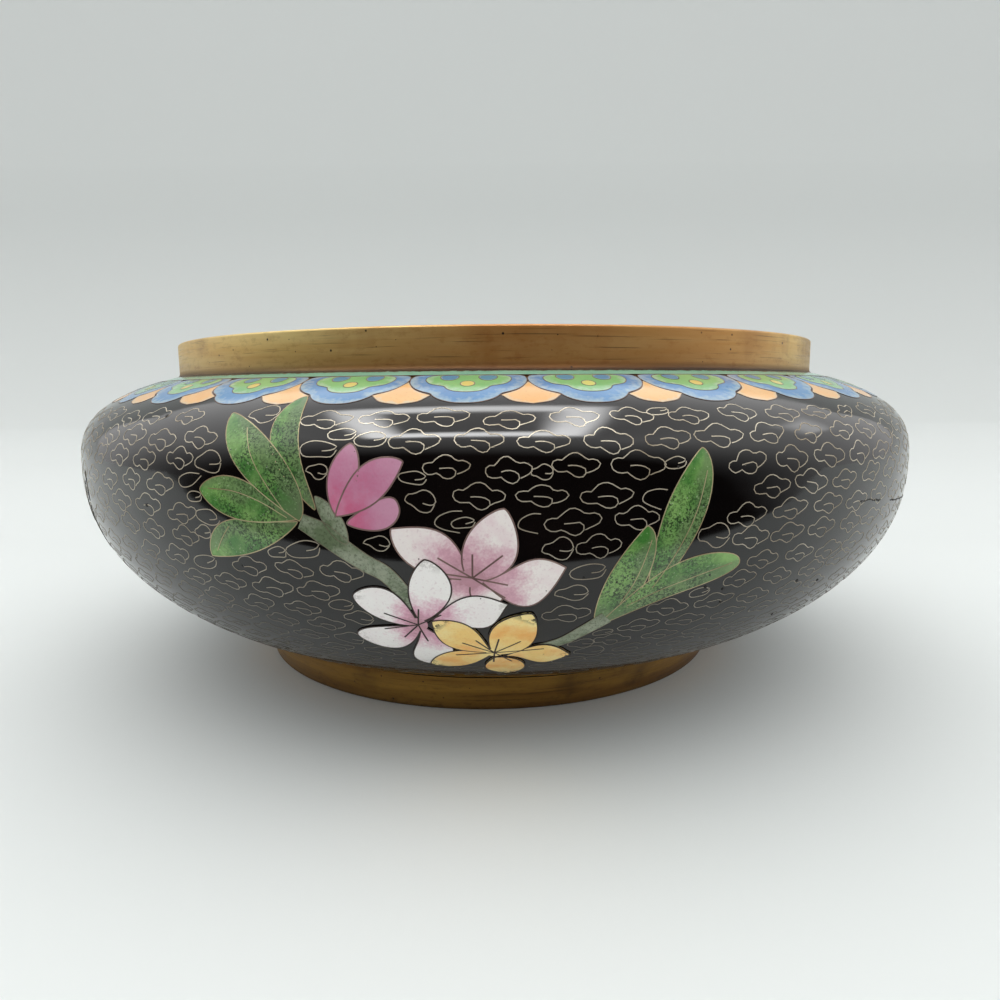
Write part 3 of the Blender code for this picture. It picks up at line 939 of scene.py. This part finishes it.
LEFT_RIBS = [
    [(-31.5, 34.2), (-36.0, 32.0), (-41.0, 30.6), (-46.2, 30.4)],
    [(-32.0, 33.0), (-34.2, 30.2), (-37.6, 25.4), (-40.0, 20.5)],
    [(-42.6, 36.2), (-44.4, 38.2), (-46.2, 40.6)],
]
RIGHT_RIBS = [
    [(24.6, 46.0), (27.5, 40.0), (30.2, 33.6), (31.8, 27.6)],
    [(19.8, 48.8), (21.6, 44.0), (23.2, 37.6)],
    [(21.0, 49.4), (26.0, 46.6), (32.0, 44.4), (38.2, 42.6)],
]


def lay_leaves(name, groups, ribs):
    """Leaves in groups, each blade with its wire a hair above it and under the next, and ribs on top."""
    lay_cells(name, joined([blade_slabs(cells, LEAF_LEVEL) for cells in groups]), leaf_enamel)
    made = [wires(blade_loop(cell)[None], LEAF_WIRE, LEAF_LEVEL + LEVEL_STEP * (number + 0.7), closed=True)
            for cells in groups for number, cell in enumerate(cells)]
    paths = np.stack([even_points(smooth_path(path, 8), 20) for path in ribs])
    made.append(wires(paths, RIB_WIRE, RIB_LEVEL))
    lay_wires(name + "_wires", joined(made), leaf_wire)


leaf_wire = wire_material("leaf_wire", colour(194, 182, 142), colour(136, 112, 80), 0.35, 0.42)
lay_leaves("leaves", [LEFT_LEAVES, RIGHT_LEAVES], LEFT_RIBS + RIGHT_RIBS)

# The stems. Grey-green enamel between two wires, thick by the leaves and thinner where they slip behind
# the flowers. A short husk holds the bud.
STEM_LEVEL = 0.085
LEFT_STEM = [(-29.2, 34.6), (-26.0, 36.2), (-23.0, 38.4), (-19.6, 40.8), (-16.6, 42.6), (-14.2, 46.0),
             (-12.9, 49.0)]
LEFT_STEM_WIDTHS = (2.4, 3.4, 3.1, 2.9, 2.8, 2.6, 2.4)
RIGHT_STEM = [(18.2, 51.8), (14.6, 55.2), (11.2, 58.2), (6.0, 60.4)]
RIGHT_STEM_WIDTHS = (3.0, 2.7, 2.4, 2.0)
HUSK = ((-26.6, 30.8), (-22.0, 37.8), 1.5, 1.4, 1.1, 1.2, 0.6, 0.2)
STEM_GREY = colour(142, 150, 128)
STEM_GREEN = colour(98, 112, 84)
STEM_DARK = colour(58, 66, 48)
STEM_WIRE = 0.13
STEM_STEPS = 30
STEM_COLUMNS = 6


def band_slab(path, widths, level):
    """A slab along a path, as wide as the widths say from one end to the other, and its two edges."""
    centre = even_points(smooth_path(path, 8), STEM_STEPS)
    along = np.gradient(centre, axis=0)
    along = along / np.hypot(*along.T)[:, None]
    leftward = np.stack([along[:, 1], -along[:, 0]], -1)
    steps = np.linspace(0, 1, STEM_STEPS)
    reach = np.interp(steps, np.linspace(0, 1, len(widths)), widths)[:, None] / 2
    left, right = centre + reach * leftward, centre - reach * leftward
    share = np.linspace(0, 1, STEM_COLUMNS)
    sheet = (right[:, None] + share[None, :, None] * (left - right)[:, None]).reshape(1, -1, 2)
    tops = on_wall(sheet[..., 0], sheet[..., 1], level)
    unders = on_wall(sheet[..., 0], sheet[..., 1], level - CELL_DEPTH)
    cell_map = np.stack(np.meshgrid(steps, share, indexing="ij"), -1).reshape(-1, 2)
    slab = slabs(tops, unders, [grid_faces(STEM_STEPS, STEM_COLUMNS)], sheet_loop(STEM_STEPS, STEM_COLUMNS))
    return (*slab, np.tile(cell_map, (2, 1))), left, right


stem_enamel, tree, shader = new_material("stem_enamel", STEM_GREY, 0.18)
paint = mix(tree, between(tree, noise(tree, 260.0, 4.0, roughness=0.6), 0.40, 0.60), STEM_GREY, STEM_GREEN)
speck = between(tree, noise(tree, 2300.0, 3.0, roughness=0.75), 0.50, 0.62, 0.0, 0.55)
paint = mix(tree, speck, paint, STEM_DARK)
holes = pinholes(tree, 400.0, 0.00014, 0.14)
tree.links.new(mix(tree, holes, paint, colour(16, 18, 14)), shader.inputs["Base Color"])
polished(tree, shader, holes)

stem_one, *edges_one = band_slab(LEFT_STEM, LEFT_STEM_WIDTHS, STEM_LEVEL)
stem_two, *edges_two = band_slab(RIGHT_STEM, RIGHT_STEM_WIDTHS, STEM_LEVEL)
lay_cells("stems", joined([stem_one, stem_two, blade_slabs([HUSK], STEM_LEVEL + 0.008)]), stem_enamel)
stem_wire = wire_material("stem_wire", colour(136, 130, 108), colour(92, 86, 68), 0.3, 0.45)
stem_wires = joined([wires(np.stack(edges_one + edges_two), STEM_WIRE, STEM_LEVEL + 0.01),
                     wires(blade_loop(HUSK)[None], STEM_WIRE, STEM_LEVEL + 0.018, closed=True)])
lay_wires("stem_wires", stem_wires, stem_wire)

# The flowers and the bud. Petals of opaque enamel wet-shaded from pink to white, or from orange to
# yellow, each in a dark brown wire, with thin dark wires for the stamens.
PETAL_WIRE = 0.24
STAMEN_WIRE = 0.27
STAMEN_POINTS = 8
REAR_FLOWER = [
    ((-3.4, 43.2), (-8.5, 50.0), 3.0, 3.4, 1.0, 1.0, 0.6, 0.0),
    ((-3.4, 43.2), (0.4, 47.6), 3.0, 2.6, 1.1, 1.1, 0.6, 0.0),
    ((-2.6, 43.1), (10.3, 41.4), 5.9, 2.1, 1.25, 1.15, 1.0, -4.1),
    ((-3.9, 43.0), (-15.1, 35.3), 6.3, 0.6, 1.1, 0.9, 0.8, -3.2),
    ((-3.8, 43.4), (1.3, 32.3), 3.5, 4.2, 0.95, 0.9, 0.7, -0.3),
]
LEFT_FLOWER = [
    ((-12.4, 53.0), (-12.9, 67.4), 1.7, 5.8, 1.15, 1.5, 0.65, 3.1),
    ((-12.6, 53.1), (-24.6, 56.8), 4.4, 2.4, 1.4, 1.5, 0.5, 0.9),
    ((-12.9, 52.7), (-22.6, 46.6), 2.7, 3.9, 1.1, 1.35, 0.6, -0.3),
    ((-11.1, 52.5), (1.9, 47.9), 1.0, 6.4, 2.0, 1.3, 1.2, 2.8),
    ((-12.5, 51.9), (-10.3, 39.9), 1.4, 5.1, 1.4, 1.25, 0.6, 0.7),
]
YELLOW_FLOWER = [
    ((-0.2, 63.3), (2.3, 73.5), 6.6, 1.5, 1.0, 1.05, 0.6, -1.9),
    ((-0.6, 61.4), (-13.4, 67.5), 2.4, 4.4, 1.4, 1.0, 0.75, 0.7),
    ((1.2, 62.9), (14.2, 63.1), 1.3, 6.2, 1.4, 1.3, 1.2, 3.1),
    ((-0.8, 61.1), (-10.5, 51.8), 1.8, 5.2, 1.15, 1.25, 0.8, 1.9),
    ((-0.5, 61.7), (5.7, 50.0), 3.7, 4.5, 1.2, 0.85, 0.7, 0.3),
]
BUD = [
    ((-21.7, 34.7), (-13.9, 31.6), 2.0, 2.1, 1.6, 1.75, 0.4, -0.6),
    ((-23.3, 33.4), (-21.2, 23.0), 1.9, 2.5, 1.0, 1.35, 0.6, 0.3),
    ((-23.4, 33.6), (-13.2, 25.6), 4.2, 1.0, 1.25, 1.0, 0.7, -1.1),
]
REAR_STAMENS = [(-8.5, 39.6), (-3.4, 39.0), (1.0, 39.2), (1.8, 44.2), (1.4, 46.6), (-9.0, 42.0)]
REAR_HEART = (-3.5, 42.9)
LEFT_STAMENS = [(-18.2, 50.2), (-12.3, 49.0), (-8.8, 50.2), (-19.0, 54.2), (-16.0, 56.4), (-12.0, 57.4)]
LEFT_HEART = (-12.9, 52.7)
YELLOW_STAMENS = [(-6.0, 57.6), (0.4, 56.4), (4.2, 57.2), (8.6, 60.0), (3.0, 65.2), (-0.6, 65.4),
                  (-7.6, 62.2), (-3.6, 56.8)]
YELLOW_HEART = (-0.4, 61.1)
PETAL_WHITE = colour(246, 243, 240)
PETAL_PINK = colour(218, 166, 186)
PETAL_MAUVE = colour(182, 134, 146)
BUD_PINK = colour(192, 120, 150)
BUD_DEEP = colour(196, 98, 132)
BUD_PALE = colour(200, 148, 172)
PETAL_DUST = colour(212, 166, 180)
PETAL_CREAM = colour(242, 234, 230)
YELLOW_PALE = colour(248, 224, 152)
YELLOW_DEEP = colour(248, 208, 124)
YELLOW_BLOTCH = colour(244, 170, 86)
CHIP_GREEN = colour(70, 70, 40)


def petal_enamel(name, stops, clouds, cloud_paint=PETAL_PINK, chips=0.0):
    """Petal enamel: a ramp of colours from the base to the tip, clouded, grained and chipped at the tip."""
    made, tree, shader = new_material(name, stops[-1][1], 0.15)
    along = cell_share(tree, "X")
    wander = between(tree, noise(tree, 330.0, 5.0, roughness=0.65), 0.3, 0.7, -0.14, 0.14)
    dither = between(tree, noise(tree, 2600.0, 1.0), 0.3, 0.7, -0.05, 0.05)
    place = math(tree, "ADD", math(tree, "ADD", along, wander), dither)
    paint = add_ramp(tree, place, stops, smooth=False)
    soft = between(tree, noise(tree, 230.0, 4.0), 0.46, 0.66, 0.0, clouds)
    paint = mix(tree, soft, paint, cloud_paint)
    grains = between(tree, noise(tree, 2400.0, 2.0), 0.58, 0.75, 0.0, 0.28)
    paint = mix(tree, grains, paint, tuple(0.7 * part for part in cloud_paint[:3]) + (1.0,))
    chip = between(tree, noise(tree, 900.0, 3.0, roughness=0.7), 0.49, 0.53, 0.0, chips)
    paint = mix(tree, math(tree, "MULTIPLY", chip, between(tree, along, 0.82, 0.92)), paint, CHIP_GREEN)
    holes = pinholes(tree, 420.0, 0.00013, 0.6)
    tree.links.new(mix(tree, holes, paint, colour(50, 34, 30)), shader.inputs["Base Color"])
    polished(tree, shader, holes)
    return made


def lay_flower(name, cells, level, material, wire, heart=None, stamens=(), disc=0.0):
    """A flower: its petals, a disc under them at the heart, the wires round them, and its stamens."""
    batches = [blade_slabs(cells, level)]
    if disc:
        circle = np.stack([np.cos(ring_turn), np.sin(ring_turn)], -1) * disc + heart
        filled = disc_slabs(circle[None], np.array([heart], float), level + LEVEL_STEP * len(cells), 3)
        batches.append((filled[0], filled[1], filled[2] * (0.05, 1.0)))
    lay_cells(name, joined(batches), material)
    top = level + LEVEL_STEP * (len(cells) + 1)
    made = [wires(blade_loop(cell)[None], PETAL_WIRE, level + LEVEL_STEP * (number + 0.7), closed=True)
            for number, cell in enumerate(cells)]
    if len(stamens):
        reach = np.array(stamens, float)[:, None] - np.array(heart)
        share = np.linspace(0, 1, STAMEN_POINTS)[None, :, None]
        made.append(wires(np.array(heart) + share * reach, STAMEN_WIRE, top))
    lay_wires(name + "_wires", joined(made), wire)


dark_wire = wire_material("dark_wire", colour(58, 42, 36), colour(34, 24, 20), 0.2, 0.45)
mauve_wire = wire_material("mauve_wire", colour(142, 116, 108), colour(96, 70, 66), 0.2, 0.45)
rear_enamel = petal_enamel("rear_petal_enamel",
                           [(0.08, PETAL_MAUVE), (0.34, PETAL_DUST), (0.62, PETAL_CREAM)], clouds=0.35)
white_enamel = petal_enamel("white_petal_enamel",
                            [(0.0, PETAL_MAUVE), (0.22, PETAL_PINK), (0.52, PETAL_WHITE)],
                            clouds=0.08, chips=0.25)
yellow_enamel = petal_enamel("yellow_petal_enamel",
                             [(0.0, YELLOW_PALE), (0.5, YELLOW_DEEP), (0.85, YELLOW_PALE)],
                             clouds=0.75, cloud_paint=YELLOW_BLOTCH, chips=0.95)
bud_enamel = petal_enamel("bud_enamel", [(0.1, BUD_DEEP), (0.5, BUD_PINK), (1.0, BUD_PALE)],
                          clouds=0.55, cloud_paint=BUD_PALE)
# Each flower lies a little above the one it overlaps. The last number is its disc's radius.
lay_flower("bud", BUD, 0.10, bud_enamel, mauve_wire)
lay_flower("rear_flower", REAR_FLOWER, 0.11, rear_enamel, mauve_wire, REAR_HEART, REAR_STAMENS, 1.7)
lay_flower("left_flower", LEFT_FLOWER, 0.165, white_enamel, dark_wire, LEFT_HEART, LEFT_STAMENS, 1.6)
lay_flower("yellow_flower", YELLOW_FLOWER, 0.22, yellow_enamel, dark_wire, YELLOW_HEART, YELLOW_STAMENS, 1.5)

# The spray on the back. The photograph doesn't show it: a plainer one, with the right leaves turned the
# other way, their stem, and one white flower.
BACK_MIDDLE = 262.0
BACK_FLOWER_SHIFT = (19.4, 2.6)


def turned_over(cells, shift=(0, 0)):
    """Blades moved by a shift and then mirrored to the back of the bowl."""
    made = []
    for base, tip, left, right, late_left, late_right, full, bow in cells:
        ends = [(BACK_MIDDLE - x - shift[0], y + shift[1]) for x, y in (base, tip)]
        made.append((*ends, right, left, late_right, late_left, full, -bow))
    return made


def points_over(points, shift=(0, 0)):
    """Points moved and mirrored in the same way."""
    return [(BACK_MIDDLE - x - shift[0], y + shift[1]) for x, y in points]


BACK_LEAVES = turned_over(RIGHT_LEAVES)
BACK_FLOWER = turned_over(LEFT_FLOWER, BACK_FLOWER_SHIFT)
lay_leaves("back_leaves", [BACK_LEAVES], [points_over(rib) for rib in RIGHT_RIBS])
stem_three, *edges_three = band_slab(points_over(RIGHT_STEM), RIGHT_STEM_WIDTHS, STEM_LEVEL)
lay_cells("back_stem", stem_three, stem_enamel)
lay_wires("back_stem_wires", wires(np.stack(edges_three), STEM_WIRE, STEM_LEVEL + 0.01), stem_wire)
back_heart, *back_stamens = points_over([LEFT_HEART, *LEFT_STAMENS], BACK_FLOWER_SHIFT)
lay_flower("back_flower", BACK_FLOWER, 0.165, white_enamel, dark_wire, back_heart, back_stamens, 1.6)

# The cloud wires. Rows of scrolls bent by hand from one pattern, no two quite alike, soldered over the
# whole ground from the border down to the foot, each row set half a scroll from the next.
CLOUD = [(-1.20, 0.19), (-0.10, 0.12), (0.98, 0.24), (1.57, 0.82), (1.17, 1.65), (0.19, 1.89),
         (-0.82, 1.38), (-1.41, 0.96), (-2.47, 1.12), (-3.40, 0.77), (-3.75, -0.11), (-3.14, -0.69),
         (-2.07, -0.69), (-1.41, -1.44), (-0.21, -1.89), (0.98, -1.49), (1.65, -0.88), (2.71, -0.96),
         (3.72, -0.37), (3.46, 0.43), (2.45, 0.90), (1.65, 1.20)]
FIRST_ROW = 18.5
ROWS = 15
ROW_PITCH = 4.0
CLOUD_PITCH = 9.2
LOWER_ROWS_FROM = 5
LOWER_CLOUD_PITCH = 8.4
LOWER_CLOUD_SIZE = 0.94
FRONT_CLOUD = 2.2
CLOUD_WIRE = 0.16
LOWER_WIRE = 0.15
CLOUD_LEVEL = 0.03
CLOUD_POINTS = 32
CLOUD_JITTER = 0.05
CLOUD_STRETCH = 0.06
CLOUD_TURN = np.radians(5)
CLOUD_DRIFT = 0.25


def scrolls(pattern, places, count, rng, jitter=CLOUD_JITTER, sizes=1.0):
    """Wire paths of a pattern at each place, each moved, stretched, slanted, turned and sized by chance."""
    amount = len(places)
    shapes = np.array(pattern, float)[None] * (1 + rng.normal(0, CLOUD_STRETCH, (amount, 1, 2)))
    shapes = shapes + shapes[..., ::-1] * rng.normal(0, CLOUD_STRETCH, (amount, 1, 1)) * (1, 0)
    shapes = shapes + rng.normal(0, jitter, (amount, len(pattern), 2))
    turn = rng.normal(0, CLOUD_TURN, amount)
    size = rng.normal(1.0, 0.04, amount) * sizes
    cosine, sine = np.cos(turn) * size, np.sin(turn) * size
    x = cosine[:, None] * shapes[..., 0] - sine[:, None] * shapes[..., 1]
    y = sine[:, None] * shapes[..., 0] + cosine[:, None] * shapes[..., 1]
    radius = np.interp(places[:, 1], LINE_DOWN, LINE_RADIUS) / BELLY_RADIUS
    paths = np.stack([places[:, :1] + x / radius[:, None], places[:, 1:] + y], -1)
    return np.stack([even_points(smooth_path(path, 6), count) for path in paths])


def inside(points, outline):
    """Which points lie inside a closed outline, by counting the edges that a ray to the right crosses."""
    x, y = points[..., 0, None], points[..., 1, None]
    start, end = outline, np.roll(outline, -1, axis=0)
    spans = (start[:, 1] > y) != (end[:, 1] > y)
    rise = np.where(end[:, 1] == start[:, 1], 1.0, end[:, 1] - start[:, 1])
    crossing = start[:, 0] + (y - start[:, 1]) / rise * (end[:, 0] - start[:, 0])
    return (spans & (x < crossing)).sum(-1) % 2 == 1


front_cells = LEFT_LEAVES + RIGHT_LEAVES + BUD + REAR_FLOWER + LEFT_FLOWER + YELLOW_FLOWER
front_spray = [blade_loop(cell) for cell in front_cells]
front_spray += [np.concatenate([left, right[::-1]]) for left, right in (edges_one, edges_two)]
back_spray = [blade_loop(cell) for cell in BACK_LEAVES + BACK_FLOWER]
back_spray += [np.concatenate([edges_three[0], edges_three[1][::-1]])]


def clear_of(paths, outlines, share=0.06):
    """Which paths have no more than a share of their points inside any of the outlines."""
    covered = np.zeros(paths.shape[:2], bool)
    for outline in outlines:
        covered |= inside(paths, outline)
    return covered.mean(1) <= share


# The line under the border, which the fillers keep away from.
border_places = np.linspace(-314, 314, 900)
border_edge = np.stack([border_places, 0 * border_places + 15.0], -1)
rng = np.random.default_rng(11)
places = []
for row in range(ROWS):
    down = FIRST_ROW + ROW_PITCH * row
    around = 2 * np.pi * np.interp(down, LINE_DOWN, LINE_RADIUS) / MM
    amount = int(round(around / (LOWER_CLOUD_PITCH if row >= LOWER_ROWS_FROM else CLOUD_PITCH)))
    step = 200 * np.pi / amount
    first = FRONT_CLOUD - (row % 2) * step / 2
    across = first + step * np.arange(amount)
    across = (across + 100 * np.pi) % (200 * np.pi) - 100 * np.pi
    places.append(np.stack([across, 0 * across + down, 0 * across + row], -1))
places = np.concatenate(places)
places[:, :2] += rng.normal(0, CLOUD_DRIFT, (len(places), 2))
low = places[:, 2] >= LOWER_ROWS_FROM
cloud_paths = scrolls(CLOUD, places[:, :2], CLOUD_POINTS, rng, sizes=np.where(low, LOWER_CLOUD_SIZE, 1.0))
kept = clear_of(cloud_paths, front_spray + back_spray)
lay_wires("upper_cloud_wires", wires(cloud_paths[kept & ~low], CLOUD_WIRE, CLOUD_LEVEL), gilt_wire)
lay_wires("lower_cloud_wires", wires(cloud_paths[kept & low], LOWER_WIRE, CLOUD_LEVEL), gilt_wire)

# The filler wires. Where no whole scroll fits beside the spray, the maker bent beans, hooks and open
# curls to hold the enamel.
BEAN = [(0.2, 0.4), (1.6, 0.5), (2.3, 0.0), (1.6, -1.2), (0.2, -1.6), (-1.2, -0.9), (-2.4, -0.5),
        (-2.6, 0.5), (-1.4, 0.9), (0.0, 1.7), (1.5, 1.5), (2.3, 0.3)]
CURL = [(1.9, -1.4), (0.4, -1.3), (-1.2, -0.5), (-1.5, 0.5), (-0.4, 1.2), (1.7, 1.6)]
LOOP = [(2.6, -0.9), (0.0, -1.2), (-2.2, -0.7), (-2.6, 0.3), (-1.6, 1.0), (0.6, 0.8), (3.0, -0.6)]
OVAL = [(0.4, 0.2), (1.6, 0.0), (2.2, -0.6), (0.6, -1.2), (-1.4, -0.9), (-2.6, -0.1), (-2.0, 0.9),
        (0.2, 1.1), (1.8, 0.8), (2.3, -0.2)]
FILLERS = [
    (BEAN, [(-10.5, 31.1), (19.2, 35.0), (6.4, 38.1), (16.8, 38.6), (-25.6, 22.4), (-44.2, 26.4),
            (-17.8, 37.9), (34.4, 36.3), (43.7, 44.5), (12.8, 42.0), (11.8, 46.0), (-49.5, 37.0)]),
    (CURL, [(-6.9, 34.0), (4.6, 34.4), (11.2, 38.4), (23.0, 31.2), (26.0, 27.2), (-25.4, 26.8),
            (36.6, 27.0), (40.4, 39.6), (13.8, 50.0), (-23.0, 43.6), (-45.8, 35.0)]),
    (LOOP, [(-44.2, 15.6), (-19.6, 22.4), (-50.4, 29.4), (-26.2, 40.4), (-38.0, 17.0)]),
    (OVAL, [(-25.3, 49.2), (9.3, 50.6), (9.8, 54.8), (-27.4, 61.5), (17.0, 57.8)]),
]
FILLER_POINTS = 26
FILLER_JITTER = 0.04
GAP_JITTER = 0.08
FILLER_ROOM = 0.45
SMALLEST_ROOM = 1.5
SPRAY_EDGE = 4.5
NEAR_EDGE = 5
LOWEST_FILLER = 84
SPOT_PITCH = 0.8
# A filler at its drawn size takes up this much room, and none is larger than this many times that size.
PATTERN_ROOM = 2.3
LARGEST_SIZE = 1.1
LOT = 200


def nearest(points, others):
    """How far each point lies from the nearest of the others on the sheet, worked out a lot at a time."""
    lots = [points[first:first + LOT] for first in range(0, len(points), LOT)]
    return np.sqrt(np.concatenate([((some[:, None] - others) ** 2).sum(-1).min(1) for some in lots]))


def fill_gaps(outlines, taken, fillers):
    """Bend a bean or an oval into each gap round a spray, the roomiest first, until none is left."""
    points = np.concatenate(outlines)
    lowest, highest = points.min(0) - SPRAY_EDGE, points.max(0) + SPRAY_EDGE
    columns = np.arange(lowest[0], highest[0], SPOT_PITCH)
    lines = np.arange(max(lowest[1], FIRST_ROW - 1), min(highest[1], LOWEST_FILLER), SPOT_PITCH)
    spots = np.stack(np.meshgrid(columns, lines), -1).reshape(-1, 2)
    spots = spots[clear_of(spots[:, None], outlines, share=0)]
    near = ((taken > lowest - NEAR_EDGE) & (taken < highest + NEAR_EDGE)).all(1)
    room = nearest(spots, taken[near])
    while room.max() > SMALLEST_ROOM:
        spot = spots[room.argmax()]
        pattern = (BEAN, OVAL)[len(fillers) % 2]
        size = min(room.max() / PATTERN_ROOM, LARGEST_SIZE)
        path = scrolls(pattern, spot[None], FILLER_POINTS, rng, GAP_JITTER, size)[0]
        room = np.minimum(room, nearest(spots, np.concatenate([path, spot[None]])))
        if clear_of(path[None], outlines, share=0)[0]:
            fillers.append(path)


taken = np.concatenate([cloud_paths[kept].reshape(-1, 2), *front_spray, *back_spray, border_edge])
fillers = []
for pattern, spots in FILLERS:
    for path in scrolls(pattern, np.array(spots), FILLER_POINTS, rng, FILLER_JITTER):
        clear = clear_of(path[None], front_spray, share=0.3)[0]
        if clear and nearest(path, taken).min() > FILLER_ROOM:
            taken = np.concatenate([taken, path])
            fillers.append(path)
fill_gaps(front_spray, taken, fillers)
fill_gaps(back_spray, taken, fillers)
lay_wires("filler_wires", wires(np.stack(fillers), CLOUD_WIRE, CLOUD_LEVEL), gilt_wire)

# Wear. Open bubbles in the enamel that the polish has filled with dirt, a dark hairline at the right of the
# belly, and knocks and scratches on its left. All of it is drawn dark and level with the enamel.
# Each pit: (across, down, radius).
PITS = [(56.7, 49.0, 0.30), (64.5, 50.4, 0.26), (39.3, 50.9, 0.26), (38.3, 47.8, 0.24),
        (58.9, 58.9, 0.22), (-61.3, 18.4, 0.34), (-62.5, 34.3, 0.30), (34.5, 46.9, 0.28),
        (34.5, 44.5, 0.20), (27.0, 26.9, 0.20), (18.5, 44.4, 0.18), (20.9, 43.9, 0.16),
        (13.2, 43.3, 0.16)]
CRACKS = [[(68.1, 35.2), (72.5, 35.3), (77.3, 35.9)], [(84.0, 36.6), (90.5, 37.3), (102.4, 38.1)],
          [(-94.9, 30.7), (-94.0, 33.8), (-94.4, 36.7)], [(-97.0, 33.0), (-98.6, 37.5), (-100.3, 41.8)],
          [(-95.6, 38.0), (-96.2, 42.5), (-97.4, 47.5)]]
CRACK_WIDTH = 0.16
WEAR_LEVEL = 0.075
dirt, tree, shader = new_material("dirt", colour(16, 13, 11), 0.7)
crumbs = between(tree, noise(tree, 2500.0, 2.0), 0.3, 0.7)
tree.links.new(mix(tree, crumbs, colour(10, 8, 7), colour(44, 38, 34)), shader.inputs["Base Color"])
pit_places = np.array(PITS)
circle = np.stack([np.cos(ring_turn), np.sin(ring_turn)], -1)
pit_rims = pit_places[:, None, :2] + pit_places[:, None, 2:] * circle
crack_paths = np.stack([even_points(smooth_path(path, 8), 24) for path in CRACKS])
crack_paths += rng.normal(0, 0.09, crack_paths.shape)
pit_discs = disc_slabs(pit_rims, pit_places[:, :2], WEAR_LEVEL, 2)
cracks = wires(crack_paths, CRACK_WIDTH, WEAR_LEVEL)
wear_marks = make_piece("wear_marks", *joined([pit_discs[:2], cracks]), dirt)
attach(wear_marks, "root")
